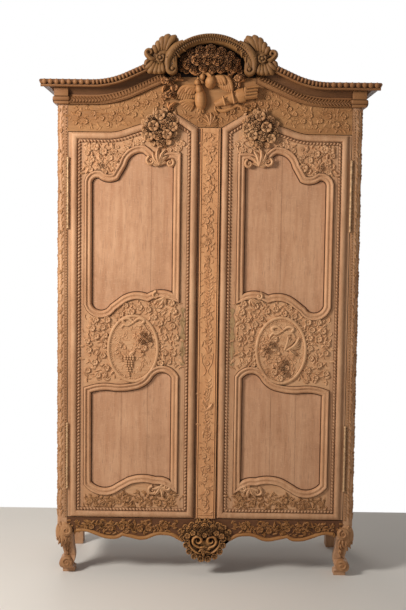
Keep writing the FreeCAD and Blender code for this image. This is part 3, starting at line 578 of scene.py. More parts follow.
doorFrameMoulding = {
    "section": [(0.0, 0.0), (0.0, 0.0036), (-0.003, 0.0074), (-0.0085, 0.0106), (-0.0145, 0.0116), (-0.0205, 0.0104),
        (-0.0252, 0.0066), (-0.0272, 0.003), (-0.0276, 0.0)],
    "beadFrom": 0.036,
    "beadPitch": 0.015,
    "beadLength": 0.0178,
    "beadWidth": 0.0092,
    "beadHeight": 0.0088,
    "beadTurn": 42,
    "beadDepth": 0.001,
}


def alongPath(path, pitch, closed=True):  # places and headings evenly spaced along a path
    points = path + ([path[0]] if closed else [])
    lengths = [math.dist(a, b) for a, b in zip(points, points[1:])]
    total = sum(lengths)
    count = max(1, round(total / pitch))
    made = []
    reach = 0.0
    index = 0
    for i in range(count):
        target = total * (i + 0.5) / count
        while reach + lengths[index] < target:
            reach += lengths[index]
            index += 1
        a, b = points[index], points[index + 1]
        t = (target - reach) / lengths[index]
        made.append((a[0] + (b[0] - a[0]) * t, a[1] + (b[1] - a[1]) * t, math.atan2(b[1] - a[1], b[0] - a[0])))
    return made


def ropeBead():  # one slanted bead of the rope moulding
    clearAll()
    bpy.ops.mesh.primitive_uv_sphere_add(segments=6, ring_count=4, radius=0.5)
    obj = active("ropeBead")
    inEdit(obj, (bpy.ops.mesh.bisect, {"plane_co": (0, 0.1, 0), "plane_no": (0, 1, 0), "clear_outer": True}))
    for polygon in obj.data.polygons:
        polygon.use_smooth = True
    return obj


def ropeAlong(name, path, look):
    bead = ropeBead()
    slant = math.radians(look["beadTurn"])
    size = scaled(look["beadLength"], look["beadHeight"] * 2, look["beadWidth"])
    made = [copyOf(bead, shifted(x, face - look["beadDepth"], z) @ turned(-heading - slant) @ size)
            for x, z, heading in alongPath(path, look["beadPitch"])]
    drop(bead)
    return joinAll(made, name)


boardJoints = {  # places across the door, then lower and upper ends
    "left": [(0.259, 1.275, 1.99), (0.388, 0.412, 0.9), (0.269, 0.44, 0.925)],
    "right": [(0.325, 1.27, 1.93), (0.293, 0.43, 0.925), (0.408, 0.405, 0.89)],
}


shadeLinesAndJoints = {  # sections of the painted shade lines beside the rope and round the panel mouldings, and of the dark joints between boards
    "besideRope": [[(-0.0272, 0.0004), (-0.0298, 0.0004)], [(-0.0424, 0.0004), (-0.0438, 0.0004)]],
    "shadeAtMoulding": [[(0.0004, -0.0094), (-0.0042, -0.0094)], [(0.0318, 0.0005), (0.0348, 0.0004)]],
    "betweenBoards": [(-0.0003, -0.0096), (0.0003, -0.0096)],
}


# Flat dark strips: painted shade in the channels beside the rope and round the panel mouldings, and the real joints
# between boards
def doorQuirks(side):
    name = side + "DoorQuirks"
    parts = [moulding("shadeLine", doorPath, section) for section in shadeLinesAndJoints["besideRope"]]
    parts += [moulding("shadeLine", path, section) for path in (upperSight, lowerSight) for section in shadeLinesAndJoints["shadeAtMoulding"]]
    parts += [moulding("joint", [(x, low), (x, high)], shadeLinesAndJoints["betweenBoards"], closed=False)
              for x, low, high in boardJoints[side]]
    settle(movedTo(side, joinAll(parts, name), name), "oakJointsAndShadeLines", side + "_door")


def doorFrame(side):
    name = side + "DoorEdgeMoulding"
    look = doorFrameMoulding
    edge = moulding(name, doorPath, look["section"])
    rope = ropeAlong(name + "Rope", grown(doorPath, -look["beadFrom"]), look)
    settle(movedTo(side, joinAll([edge, rope], name), name), "oakRope", side + "_door")


for side in ("right", "left"):
    panelMouldings(side)
    doorFrame(side)
    doorQuirks(side)
print("door mouldings made")


# Carving templates, each 1 long, with its back on the face

def leafShape(name, width=0.42, notch=0.0, bend=0.12, lift=0.13, steps=8):
    rings = []
    for i in range(steps + 1):
        t = i / steps
        half = width / 2 * math.sin(math.pi * min(1, 0.06 + t * 0.94) ** 0.72) ** 0.8
        half *= 1 - notch * (i % 2)
        middle = bend * math.sin(math.pi * t)
        high = lift * (0.55 + 0.6 * t) * (1 - t ** 6)
        rings.append([(middle + half * s, -high * h, t) for s, h in
                      ((-1, -0.1), (-0.62, 0.75), (-0.16, 1.0), (0, 0.62), (0.16, 1.0), (0.62, 0.75), (1, -0.1))])
    obj = band(name, rings, closed=False)
    cleanMesh(obj, 0.0005)
    smoothAt(obj, 60)
    return obj


def petalRing(count, radius, width, high, dip, spin=0.0, inner=0.06):
    parts = []
    for i in range(count):
        rings = []
        for t, wide, lift in ((0.0, 0.35, dip), (0.45, 0.85, dip * 1.2), (0.78, 1.0, high), (0.94, 0.75, high * 0.8),
                              (1.0, 0.35, 0.0)):
            reach = inner + (radius - inner) * t
            rings.append([(width / 2 * wide * s, -lift * rise - 0.02, reach - abs(s) * radius * 0.08)
                          for s, rise in ((-1, 0.2), (-0.6, 1.0), (0, 0.8), (0.6, 1.0), (1, 0.2))])
        petal = band("petal", rings, closed=False)
        petal.data.transform(turned(math.tau * (i + spin) / count))
        parts.append(petal)
    return parts


def dome(x, z, size, high, sides=8, tall=1.0):
    clearAll()
    bpy.ops.mesh.primitive_uv_sphere_add(segments=sides, ring_count=5, radius=0.5)
    obj = active("dome")
    inEdit(obj, (bpy.ops.transform.rotate, {"value": math.pi / 2, "orient_axis": "X", "center_override": (0, 0, 0)}),
           (bpy.ops.mesh.bisect, {"plane_co": (0, 0.06, 0), "plane_no": (0, 1, 0), "clear_outer": True}))
    obj.data.transform(shifted(x, 0, z) @ scaled(size, high * 2, size * tall))
    return obj


def blossom(name, parts):
    obj = joinAll(parts, name)
    cleanMesh(obj, 0.0005)
    smoothAt(obj, 55)
    return obj


def flowerShape(name, petals=5):
    return blossom(name, petalRing(petals, 0.5, 3.0 / petals, 0.15, 0.05) + [dome(0, 0, 0.24, 0.15)])


def roseShape(name):
    parts = petalRing(6, 0.5, 0.5, 0.15, 0.06) + petalRing(5, 0.35, 0.4, 0.3, 0.2, 0.5)
    return blossom(name, parts + petalRing(3, 0.19, 0.28, 0.42, 0.32, 0.25, 0.04) + [dome(0, 0, 0.13, 0.34, sides=6)])


def budShape(name):
    parts = [dome(0, 0.5, 0.42, 0.2, tall=1.6), leafShape("sepal", 0.3), leafShape("sepal", 0.3)]
    for part, turn in zip(parts[1:], (-0.5, 0.5)):
        part.data.transform(turned(turn))
    return joinAll(parts, name)


def tube(name, path, widths, high, depth=0.0):  # half-round stem laid along a path
    rings = []
    count = len(path)
    for i in range(count):
        a = Vector(path[max(0, i - 1)])
        b = Vector(path[min(count - 1, i + 1)])
        along = (b - a).normalized()
        across = Vector((along[1], -along[0]))
        t = i / (count - 1)
        spot = min(len(widths) - 1.001, t * (len(widths) - 1))
        k = int(spot)
        half = (widths[k] + (widths[k + 1] - widths[k]) * (spot - k)) / 2
        ring = []
        for angle in (0, 0.22, 0.5, 0.78, 1):
            s = -math.cos(math.pi * angle) * half
            up = math.sin(math.pi * angle) * high * (half * 2 / max(widths))
            place = Vector(path[i]) + across * s
            ring.append((place[0], face - depth - up, place[1]))
        rings.append(ring)
    return bandOf(name, rings, 60)


def spiral(x, z, radius, start, turns, steps=18, shrink=0.72):  # from the outside inwards
    made = []
    for i in range(steps + 1):
        t = i / steps
        r = radius * (1 - shrink * t)
        angle = start + math.tau * turns * t
        made.append((x + r * math.cos(angle), z + r * math.sin(angle)))
    return made


kinds = {
    "leaf": leafShape("leaf"),
    "blade": leafShape("blade", 0.24, 0.0, 0.2, 0.1),
    "lobed": leafShape("lobed", 0.62, 0.34, 0.06, 0.13, 9),
    "daisy": flowerShape("daisy", 5),
    "star": flowerShape("star", 6),
    "rose": roseShape("rose"),
    "bud": budShape("bud"),
    "berry": dome(0, 0, 1.0, 0.5, sides=6),
}


def sprig(kind, x, z, size, turn=0, lift=1.0, depth=0.0, tilt=0):  # metres and degrees
    return copyOf(kinds[kind], onFace(x, z, size, math.radians(turn), lift, depth, math.radians(tilt)))


def placeAll(name, rows):  # rows in the order of a sprig's settings
    return joinAll([sprig(*row) for row in rows], name)


def leavesAlong(path, pitch, size, spread, lift, mix=("leaf",), closed=False):  # leant to both sides in turn
    rows = []
    for i, (x, z, course) in enumerate(alongPath(path, pitch, closed)):
        turn = 90 - math.degrees(course) + (spread if i % 2 else -spread)
        rows.append((mix[i % len(mix)], x, z, size, turn, lift))
    return rows


def wing(root, first, last, count, bow, width, high, depth):  # feathers fanned from a shoulder
    parts = []
    for i in range(count):
        t = i / (count - 1)
        sag = 0.006 * math.sin(math.pi * t)
        tip = (first[0] + (last[0] - first[0]) * t, first[1] + (last[1] - first[1]) * t - sag)
        mid = ((root[0] + tip[0]) / 2 + bow[0] * (1 - t), (root[1] + tip[1]) / 2 + bow[1] * (1 - t))
        path = curveThrough([root, mid, tip], 5) + [tip]
        parts.append(tube("feather", path, [width * 0.5, width * 0.9, width, width * 0.9, width * 0.3], high,
                          depth + 0.0016 * (count - i)))
    return parts


def sown(region, blocked, spacing, seed, tries=1500):  # seeded places inside a region, apart from each other
    rng = random.Random(seed)
    xs = [p[0] for p in region]
    zs = [p[1] for p in region]
    made = []
    for _ in range(tries):
        spot = (rng.uniform(min(xs), max(xs)), rng.uniform(min(zs), max(zs)))
        if not inside(spot, region) or any(inside(spot, block) for block in blocked):
            continue
        if all(math.dist(spot, other) > spacing for other in made):
            made.append(spot)
    return made


def foliage(places, mix, sizes, seed, lift=1.0, depth=0.0):  # rows of mixed leaves and flowers at places
    rng = random.Random(seed)
    rows = []
    for x, z in places:
        kind = rng.choice(mix)
        size = rng.uniform(*sizes) * (1.0 if kind in ("leaf", "blade", "lobed", "bud") else 0.8)
        turn = rng.uniform(0, 360)
        shift = 0.5 * size if kind in ("leaf", "blade", "lobed", "bud") else 0.0
        rows.append((kind, x - shift * math.sin(math.radians(turn)), z - shift * math.cos(math.radians(turn)),
                     size, turn, lift * rng.uniform(0.8, 1.2), depth))
    return rows


def ellipse(x, z, wide, tall, steps=48):
    return [(x + wide * math.cos(math.tau * i / steps), z + tall * math.sin(math.tau * i / steps))
            for i in range(steps)]


print("carving templates made")


# Carved fields of the doors, laid out on the right door in millimetres

def metres(rows):
    return [(kind, x / 1000, z / 1000, size / 1000, *rest) for kind, x, z, size, *rest in rows]


def pairs(points):
    return [(x / 1000, z / 1000) for x, z in points]


def heaped(rows, x, z, reach, high):  # rows raised as if laid on a low mound
    made = []
    for kind, px, pz, size, *rest in rows:
        turn, lift, depth, tilt = list(rest) + [0, 1, 0, 0][len(rest):]
        away = math.hypot((px - x) / reach, (pz - z) / reach)
        made.append((kind, px, pz, size, turn, lift, depth + high * max(0.0, 1 - away * away), tilt))
    return made


doorCarving = {
    "bouquetCentre": (0.222, 2.038),
    "bouquet": [("rose", 180, 2080, 46), ("daisy", 222, 2092, 48, 20, 2.4), ("rose", 264, 2074, 46),
        ("daisy", 250, 2044, 50, 0, 2.6), ("rose", 202, 2050, 50), ("daisy", 164, 2042, 44, 30, 2.2),
        ("rose", 284, 2034, 44), ("rose", 232, 2006, 50), ("daisy", 190, 2008, 46, 10, 2.4),
        ("daisy", 272, 1996, 44, 40, 2.2), ("rose", 218, 1972, 42), ("daisy", 202, 2110, 30),
        ("daisy", 154, 2072, 30), ("daisy", 294, 2062, 28), ("daisy", 160, 2014, 32), ("daisy", 184, 1976, 30),
        ("daisy", 254, 1968, 28), ("daisy", 292, 2010, 28), ("bud", 245, 2102, 30, 20), ("bud", 148, 2092, 30, -40)],
    "bouquetLeaves": [("leaf", 160, 2080, 44, -60), ("leaf", 200, 2095, 44, -15), ("leaf", 250, 2090, 42, 25),
        ("leaf", 280, 2060, 42, 60), ("leaf", 285, 2015, 40, 100), ("leaf", 265, 1985, 40, 140),
        ("leaf", 232, 1972, 42, 175), ("leaf", 195, 1980, 40, -150), ("leaf", 165, 2005, 40, -115),
        ("leaf", 160, 2045, 38, -85), ("lobed", 215, 2060, 46, 10), ("lobed", 240, 2025, 46, 80),
        ("lobed", 205, 2022, 44, -70), ("lobed", 262, 2030, 42, 120), ("lobed", 190, 2060, 42, -40)],
    "flowers": [("daisy", 420, 1868, 40, 0, 1.8), ("rose", 490, 1872, 40, 20, 1.1), ("star", 474, 1932, 36, 0, 1.8),
        ("daisy", 512, 1952, 38, 0, 1.5), ("daisy", 540, 1944, 34, 20, 1.5), ("star", 446, 1904, 30, 0, 1.4),
        ("daisy", 396, 1906, 30, 0, 1.4), ("daisy", 528, 1896, 32, 30, 1.5), ("star", 532, 1850, 26, 0, 1.4),
        ("daisy", 300, 1984, 26, 0, 1.5), ("daisy", 322, 1972, 26, 20, 1.5), ("daisy", 345, 1962, 22, 0, 1.4),
        ("daisy", 300, 1957, 24, 40, 1.4), ("daisy", 150, 1992, 24, 0, 1.5), ("daisy", 134, 1972, 22, 30, 1.4),
        ("daisy", 142, 1946, 24, 0, 1.5), ("daisy", 160, 1926, 20, 0, 1.4), ("star", 372, 1944, 26, 0, 1.4),
        ("leaf", 455, 1884, 26, 60, 1.5), ("leaf", 455, 1860, 26, 100, 1.5), ("leaf", 400, 1880, 26, -60, 1.5),
        ("leaf", 515, 1868, 26, 80, 1.5)],
    "leafAreas": [([(374, 1926), (404, 1852), (440, 1838), (520, 1832), (551, 1838), (551, 1960), (500, 1972),
        (400, 1950)], 12, 11), ([(276, 1996), (296, 1950), (352, 1942), (366, 1958), (330, 1990)], 11, 12),
        ([(118, 1900), (168, 1906), (182, 1948), (176, 1990), (140, 2006), (116, 1960)], 11, 13)],
}


def doorTopCarving():
    look = doorCarving
    blocked = [grown(upperSight, 0.036)]
    rows = []
    for area, spacing, seed in look["leafAreas"]:
        spots = sown(pairs(area), blocked, spacing / 1000, seed, 3000)
        rows += foliage(spots, ["leaf", "leaf", "lobed", "blade", "daisy"], (0.02, 0.032), seed, 1.9)
    return placeAll("rightDoorTopCarving", rows + metres(look["flowers"]))


def mound(x, z, size, high, tall=1.0):
    obj = dome(x, z, size, high, sides=24, tall=tall)
    obj.data.transform(shifted(0, face, 0))
    return obj


def bouquetHeap():
    look = doorCarving
    rows = heaped(metres(look["bouquetLeaves"]), *look["bouquetCentre"], 0.085, 0.008)
    rows += heaped(metres(look["bouquet"]), *look["bouquetCentre"], 0.1, 0.024)
    return joinAll([placeAll("heap", rows), mound(0.222, 2.036, 0.12, 0.012)], "rightDoorBouquet")


def fanOf(x, z, rows, depth=0.0):  # leaves fanned out from one place: turn, length, width share, lift
    made = []
    for turn, length, wide, lift in rows:
        leaf = sprig("leaf", x, z, length, turn, lift, depth)
        hub, spin = shifted(x, 0, z), turned(-math.radians(turn))
        leaf.data.transform(hub @ spin @ scaled(wide, 1, 1) @ spin.inverted() @ hub.inverted())
        made.append(leaf)
    return made


cornerLook = {
    "scrollWidths": [0.016, 0.014, 0.01, 0.006],
    "scrolls": [(0.262, 1.892, 0.02, 1.2, -1.15), (0.176, 1.884, 0.018, 1.9, 1.15), (0.24, 0.396, 0.021, 1.5, -1.1),
        (0.176, 0.412, 0.015, 3.3, 1.0), (0.232, 1.292, 0.016, 1.5, -1.0)],
    "fans": [(0.222, 1.876, [(-52, 0.052, 0.9, 1.3), (-28, 0.07, 0.9, 1.4), (-4, 0.078, 0.9, 1.5),
        (22, 0.074, 0.9, 1.4), (46, 0.058, 0.9, 1.3), (78, 0.04, 0.9, 1.3), (-82, 0.04, 0.9, 1.3)], 0.004),
        (0.206, 0.412, [(-100, 0.044, 1.0, 1.5), (-140, 0.048, 1.0, 1.5), (170, 0.05, 1.0, 1.5),
        (128, 0.044, 1.0, 1.4), (60, 0.034, 1.0, 1.3)], 0.006),
        (0.198, 1.282, [(-110, 0.046, 1.0, 1.4), (-150, 0.042, 1.0, 1.4), (100, 0.04, 1.0, 1.3),
        (170, 0.036, 1.0, 1.3)], 0.005)],
}


def cornerScrolls():  # leaf scrolls where the panel mouldings break
    look = cornerLook
    parts = []
    for x, z, radius, start, turns in look["scrolls"]:
        parts.append(tube("scroll", spiral(x, z, radius, start, turns), look["scrollWidths"], 0.011, 0.004))
        parts.append(sprig("berry", x, z, 0.012, lift=1.4, depth=0.004))
    for fan in look["fans"]:
        parts += fanOf(*fan)
    return joinAll(parts, "rightDoorCornerScrolls")


medallion = {
    "x": 0.335,
    "z": 1.048,
    "wide": 0.117,
    "tall": 0.155,
    "lift": 0.004,
    "wreath": [(0.955, "leaf", 0.021, 0.0105, 38), (0.875, "berry", 0.0064, 0.0085, 0)],
    "lineWide": 0.95,
    "lineTall": 0.962,
    "lineSection": [(-0.0078, -0.0002), (-0.0066, 0.003), (-0.0036, 0.0048), (0.0, 0.0054), (0.0036, 0.0046),
        (0.006, 0.0026), (0.0068, -0.002), (0.007, -0.004)],
}


def medallionRim():  # leaf wreath with a bead line inside it
    look = medallion
    rows = []
    for scale, kind, size, pitch, spread in look["wreath"]:
        ring = ellipse(look["x"], look["z"], look["wide"] * scale, look["tall"] * scale)
        rows += leavesAlong(ring, pitch, size, spread, 0.9, (kind,), True)
    leaves = placeAll("rim", rows)
    oval = ellipse(look["x"], look["z"], look["wide"] * look["lineWide"], look["tall"] * look["lineTall"], 72)
    return raised(joinAll([leaves, moulding("line", oval, look["lineSection"])], "rightDoorMedallionRim"))


def raised(obj):  # moved out to the front of the medallion's oval ground
    obj.data.transform(shifted(0, -medallion["lift"], 0))
    return obj


def bow(x, z, size):  # ribbon bow with two loops and two tails
    parts = []
    width = [size * 0.1, size * 0.16, size * 0.16, size * 0.08]
    for side in (-1, 1):
        loop = [(x, z), (x + side * size * 0.28, z + size * 0.2), (x + side * size * 0.55, z + size * 0.12),
                (x + side * size * 0.42, z - size * 0.06), (x + side * size * 0.12, z - size * 0.02)]
        tail = [(x, z), (x + side * size * 0.3, z - size * 0.16), (x + side * size * 0.48, z - size * 0.12),
                (x + side * size * 0.66, z - size * 0.34)]
        parts.append(tube("loop", curveThrough(loop, 6), width, 0.006, 0.003))
        parts.append(tube("tail", curveThrough(tail, 6), width, 0.005, 0.002))
    parts.append(sprig("berry", x, z, size * 0.16, lift=0.9, depth=0.004))
    return parts


def grapes(x, z, wide, tall, berry, seed):
    rng = random.Random(seed)
    rows = []
    levels = max(2, round(tall / (berry * 0.8)))
    for i in range(levels):
        t = i / (levels - 1)
        across = max(1, round(wide * (1 - 0.75 * t) / berry))
        for j in range(across):
            rows.append(("berry", x + (j - (across - 1) / 2) * berry * 0.92 + rng.uniform(-0.001, 0.001),
                         z - t * tall, berry, 0, 1.0, 0.002 + 0.003 * (1 - t)))
    return rows


medallionLook = {
    "rightBow": (0.34, 1.138, 0.088),
    "leftBow": (0.334, 1.168, 0.088),
    "right": [("rose", 262, 1054, 36), ("rose", 286, 1078, 38), ("daisy", 304, 1100, 30), ("daisy", 268, 1084, 26),
        ("daisy", 250, 1032, 26), ("star", 300, 1056, 24), ("daisy", 322, 1008, 32), ("rose", 346, 998, 32),
        ("rose", 330, 972, 40), ("daisy", 306, 950, 30), ("rose", 352, 946, 34), ("daisy", 332, 922, 32),
        ("star", 362, 970, 26), ("berry", 316, 986, 16), ("berry", 300, 972, 14)],
    "left": [("rose", 292, 1116, 38), ("rose", 300, 1086, 40), ("rose", 270, 1096, 34), ("daisy", 272, 1120, 28),
        ("daisy", 286, 1054, 32), ("daisy", 312, 1062, 30), ("star", 320, 1096, 26), ("daisy", 256, 1070, 22),
        ("berry", 300, 1036, 14), ("berry", 290, 1024, 13), ("daisy", 396, 1062, 22), ("daisy", 392, 1010, 22)],
    "grapes": (0.352, 1.012, 0.052, 0.086, 0.0125, 4),
    "rightGrounds": [((0.278, 1.066, 0.042, 0.052), 21, 5, 1.6), ((0.334, 0.962, 0.044, 0.054), 24, 6, 1.4)],
    "leftGrounds": [((0.288, 1.088, 0.044, 0.056), 22, 7, 1.4)],
    "feather": (0.013, 0.006, 0.0),  # width, height and depth
    "rightWings": [((0.35, 1.05), (0.366, 1.114), (0.396, 1.096), 4, (0.004, 0.0)),
        ((0.356, 1.048), (0.416, 1.112), (0.42, 1.062), 4, (0.01, -0.006))],
    "leftWings": [],
    "rightLeaves": [("leaf", 370, 1060, 54, 236, 2.2), ("berry", 326, 1034, 18, 0, 1.0)],
    "leftLeaves": [("lobed", 350, 1006, 44, -50, 1.3), ("lobed", 352, 1006, 44, 40, 1.3),
        ("lobed", 330, 990, 38, -110, 1.2), ("leaf", 376, 990, 36, 110, 1.2)],
    "rightSprays": [((306, 1040), (360, 1000), (402, 1018)), ((350, 960), (384, 970), (404, 1000)),
        ((306, 960), (280, 982), (262, 1012)), ((410, 1058), (396, 1030), (372, 1016))],
    "leftSprays": [((392, 1100), (404, 1050), (388, 1000)), ((388, 1080), (366, 1050), (372, 1010)),
        ((300, 1030), (286, 990), (306, 960)), ((330, 1040), (344, 1020), (336, 1006))],
}


def sprayRows(points, size, lift):  # small leaves to both sides of a light stem
    path = curveThrough(pairs(points), 6) + [pairs(points)[-1]]
    rows = leavesAlong(path, 0.0095, size, 42, lift, ("blade", "leaf", "leaf"))
    return tube("stem", path, [0.003, 0.002], 0.0022), rows


def medallionFill(side):
    look = medallionLook
    parts = bow(*look[side + "Bow"])
    rows = metres([(*row, 0, 1.7) for row in look[side]])
    if side == "left":
        rows += grapes(*look["grapes"])
    for oval, seed, draws, lift in look[side + "Grounds"]:
        rows += foliage(sown(ellipse(*oval), [], 0.012, seed), ["leaf", "blade"], (0.02, 0.03), draws, lift)
    for feathers in look[side + "Wings"]:
        parts += wing(*feathers, *look["feather"])
    rows += metres(look[side + "Leaves"])
    ground = sown(ellipse(medallion["x"], medallion["z"], 0.086, 0.12), [], 0.012, 27, 4000)
    rows += foliage(ground, ["leaf", "blade", "leaf"], (0.014, 0.021), 28, 0.8)
    for points in look[side + "Sprays"]:
        stem, more = sprayRows(points, 0.021, 1.4)
        parts.append(stem)
        rows += more
    parts.append(placeAll("medallionFlowers", rows))
    return raised(joinAll(parts, "rightDoorMedallionFill"))


fieldLook = {
    "middle": [(134, 905), (548, 905), (548, 1250), (134, 1300)],
    "middleFlowers": [(140, 935), (545, 920), (545, 1230), (140, 1265)],
    "bottom": [([(118, 322), (236, 316), (236, 352), (196, 388), (118, 400)], 41),
               ([(250, 318), (330, 318), (326, 386), (262, 384)], 42),
               ([(336, 318), (440, 322), (440, 356), (352, 388)], 43),
               ([(444, 318), (554, 318), (554, 364), (500, 372), (444, 362)], 44)],
    "bottomFlowers": [("daisy", 215, 338, 32, 0, 1.5), ("daisy", 150, 362, 24, 0, 1.5), ("star", 298, 350, 28, 0, 1.5),
                      ("daisy", 362, 356, 34, 0, 1.9), ("daisy", 398, 342, 28, 0, 1.5), ("star", 470, 340, 24, 0, 1.5),
                      ("daisy", 528, 344, 26, 0, 1.5), ("star", 262, 336, 22, 0, 1.5)],
    "aroundMoulding": 0.037,
}


def middleFoliage():
    look = fieldLook
    blocked = [grown(sight, look["aroundMoulding"]) for sight in (upperSight, lowerSight)]
    blocked.append(ellipse(medallion["x"], medallion["z"], medallion["wide"] + 0.016, medallion["tall"] + 0.014))
    spots = sown(pairs(look["middle"]), blocked, 0.0125, 31, 6000)
    rows = foliage(spots, ["leaf", "lobed", "blade", "leaf", "leaf"], (0.018, 0.03), 31, 1.8)
    rng = random.Random(8)
    for x, z in sown(pairs(look["middleFlowers"]), blocked, 0.036, 33, 900):
        kind = rng.choice(["daisy", "star", "star", "daisy"])
        rows.append((kind, x, z, rng.uniform(0.024, 0.034), rng.uniform(0, 72), 1.9))
    return placeAll("rightDoorMiddleCarving", rows)


def bottomFoliage():
    blocked = [grown(lowerSight, 0.038)]
    rows = []
    for area, seed in fieldLook["bottom"]:
        spots = sown(pairs(area), blocked, 0.01, seed, 2500)
        rows += foliage(spots, ["leaf", "blade", "lobed", "leaf"], (0.02, 0.032), seed, 1.8)
    return placeAll("rightDoorBottomCarving", rows + metres(fieldLook["bottomFlowers"]))


def bothDoors(right, replaced=None, wood="oakCarved"):
    bothSides(right, wood, "{}_door", replaced)


bothDoors(doorTopCarving())
bothDoors(bouquetHeap(), "{}_door_bouquet", "oakBouquet")
bothDoors(cornerScrolls())
bothDoors(medallionRim())
bothDoors(middleFoliage())
bothDoors(bottomFoliage(), wood="oakLowCarved")
for side in ("right", "left"):
    settle(movedTo(side, medallionFill(side), "leftDoorMedallionFill"), "oakCarved", side + "_door")
print("door carvings made")


# Crest: arched moulding, scrolls, shells, niche flowers, doves and quiver

crest = {
    "half": 0.201,
    "spring": 2.335,
    "top": 2.44,
    "section": [(0.0, 0.0), (0.0, 0.076), (0.001, 0.082), (0.006, 0.086), (0.013, 0.085), (0.0165, 0.08),
        (0.0175, 0.078), (0.027, 0.076), (0.03, 0.071), (0.035, 0.066), (0.038, 0.058), (0.038, 0.0)],
}


def slabOf(name, points, front, back, rounded):  # plate with a front-view outline and a rounded front edge
    section = ((0.0, back), (0.0, front - rounded), (-rounded * 0.3, front - rounded * 0.3), (-rounded, front))
    obj = band(name, [offFace(grown(points, away), height) for away, height in section])
    cleanMesh(obj)
    capEnds(obj)
    smoothAt(obj, 40)
    return obj


def archPath(steps=64):
    half, spring = crest["half"], crest["spring"]
    return arcThrough((half, spring), (0, crest["top"]), (-half, spring), steps) + [(-half, spring)]


def nubs(name, path, pitch, along, across, high, depth, sides=6):  # row of raised nubs on a path
    bead = dome(0, 0, 1.0, 1.0, sides=sides)
    made = [copyOf(bead, shifted(x, face - depth, z) @ turned(-course) @ scaled(along, high, across))
            for x, z, course in alongPath(path, pitch, False)]
    drop(bead)
    return joinAll(made, name)


archScroll = {  # leafy scroll that ends each side of the arch
    "hook": [(0.12, 2.404), (0.16, 2.376), (0.186, 2.334), (0.19, 2.3)],
    "widths": [0.02, 0.034, 0.036, 0.028, 0.022, 0.016, 0.012, 0.01],
    "block": [(0.146, 2.288), (0.152, 2.27), (0.168, 2.2635), (0.186, 2.27), (0.192, 2.29), (0.198, 2.335),
        (0.16, 2.372), (0.15, 2.34)],
    "leaves": [(0.128, 2.392, 0.036, 148), (0.146, 2.372, 0.038, 162), (0.158, 2.348, 0.038, 176),
        (0.164, 2.324, 0.034, 190)],
}


def archMoulding():
    path = archPath()
    parts = [bandOf("arch", [offFace(grown(path, -away, False), height) for away, height in crest["section"]], 35),
             nubs("crown", grown(path, -0.0082, False), 0.0104, 0.0088, 0.014, 0.0085, 0.083),
             nubs("inner", grown(path, -0.0235, False), 0.0104, 0.008, 0.015, 0.008, 0.075)]
    look = archScroll
    for side in (-1, 1):
        curl = spiral(0.168, 2.288, 0.0225, 0.45, -0.95, 16, 0.7)
        path = [(side * x, z) for x, z in curveThrough(look["hook"], 6) + curl]
        parts.append(tube("scroll", path, look["widths"], 0.02, 0.072))
        parts.append(slabOf("block", [(side * x, z) for x, z in look["block"]], 0.076, 0.0, 0.006))
        parts += [sprig("leaf", side * x, z, size, side * turn, 2.2, 0.07) for x, z, size, turn in look["leaves"]]
        parts.append(sprig("berry", side * 0.168, 2.288, 0.018, lift=1.2, depth=0.078))
    settle(joinAll(parts, "crestArchMoulding"), "oakCrest", replaced="crest_arch")


shellLook = {
    "outline": [(0.15, 2.426), (0.183, 2.43), (0.206, 2.42), (0.228, 2.402), (0.246, 2.382), (0.266, 2.376),
        (0.28, 2.36), (0.276, 2.338), (0.279, 2.316), (0.284, 2.292), (0.276, 2.274), (0.25, 2.27), (0.224, 2.27),
        (0.202, 2.276), (0.19, 2.33), (0.166, 2.378), (0.142, 2.412)],
    "lobes": [((0.196, 2.366), (0.152, 2.431), 0.034), ((0.206, 2.368), (0.182, 2.436), 0.036),
        ((0.216, 2.366), (0.21, 2.427), 0.034), ((0.228, 2.362), (0.234, 2.408), 0.03),
        ((0.238, 2.35), (0.254, 2.388), 0.026), ((0.212, 2.312), (0.206, 2.27), 0.026),
        ((0.222, 2.31), (0.226, 2.264), 0.028), ((0.234, 2.312), (0.25, 2.265), 0.028),
        ((0.244, 2.318), (0.275, 2.268), 0.028), ((0.25, 2.326), (0.289, 2.288), 0.026)],
    "lobeShares": [0.35, 0.8, 1, 0.9, 0.3],
    "outer": [(0.24, 2.33), (0.262, 2.33), (0.279, 2.346)],
    "outerWidths": [0.012, 0.022, 0.024, 0.018, 0.014, 0.01],
    "side": [(0.286, 2.3), (0.279, 2.318), (0.262, 2.326)],
    "sideWidths": [0.016, 0.022, 0.012],
    "centre": (0.222, 2.334),
    "fan": [(250, 0.036, 0.9, 1.8), (290, 0.036, 0.9, 1.8)],
}


def shell():
    look = shellLook
    ground = curveThrough(look["outline"] + look["outline"][:1], 4)
    parts = [slabOf("body", ground, 0.068, 0.026, 0.01)]
    for (x0, z0), (x1, z1), wide in look["lobes"]:  # lobes bow away from the centre line
        bow = 0.1 * (x1 - x0)
        path = curveThrough([(x0, z0), (x0 + (x1 - x0) * 0.5 - bow, z0 + (z1 - z0) * 0.6), (x1, z1)], 6) + [(x1, z1)]
        parts.append(tube("lobe", path, [wide * share for share in look["lobeShares"]], 0.016, 0.066))
    curl = spiral(0.268, 2.356, 0.015, -0.4, 0.9, 14, 0.65)
    parts.append(tube("outer", curveThrough(look["outer"], 6) + curl, look["outerWidths"], 0.018, 0.068))
    parts.append(tube("side", curveThrough(look["side"], 6), look["sideWidths"], 0.014, 0.067))
    x, z = look["centre"]
    parts.append(sprig("daisy", x, z, 0.04, lift=1.8, depth=0.074))
    parts.append(sprig("berry", x, z, 0.018, lift=1.2, depth=0.078))
    parts += fanOf(x, z, look["fan"], 0.07)
    return joinAll(parts, "crestShellRightCarving")


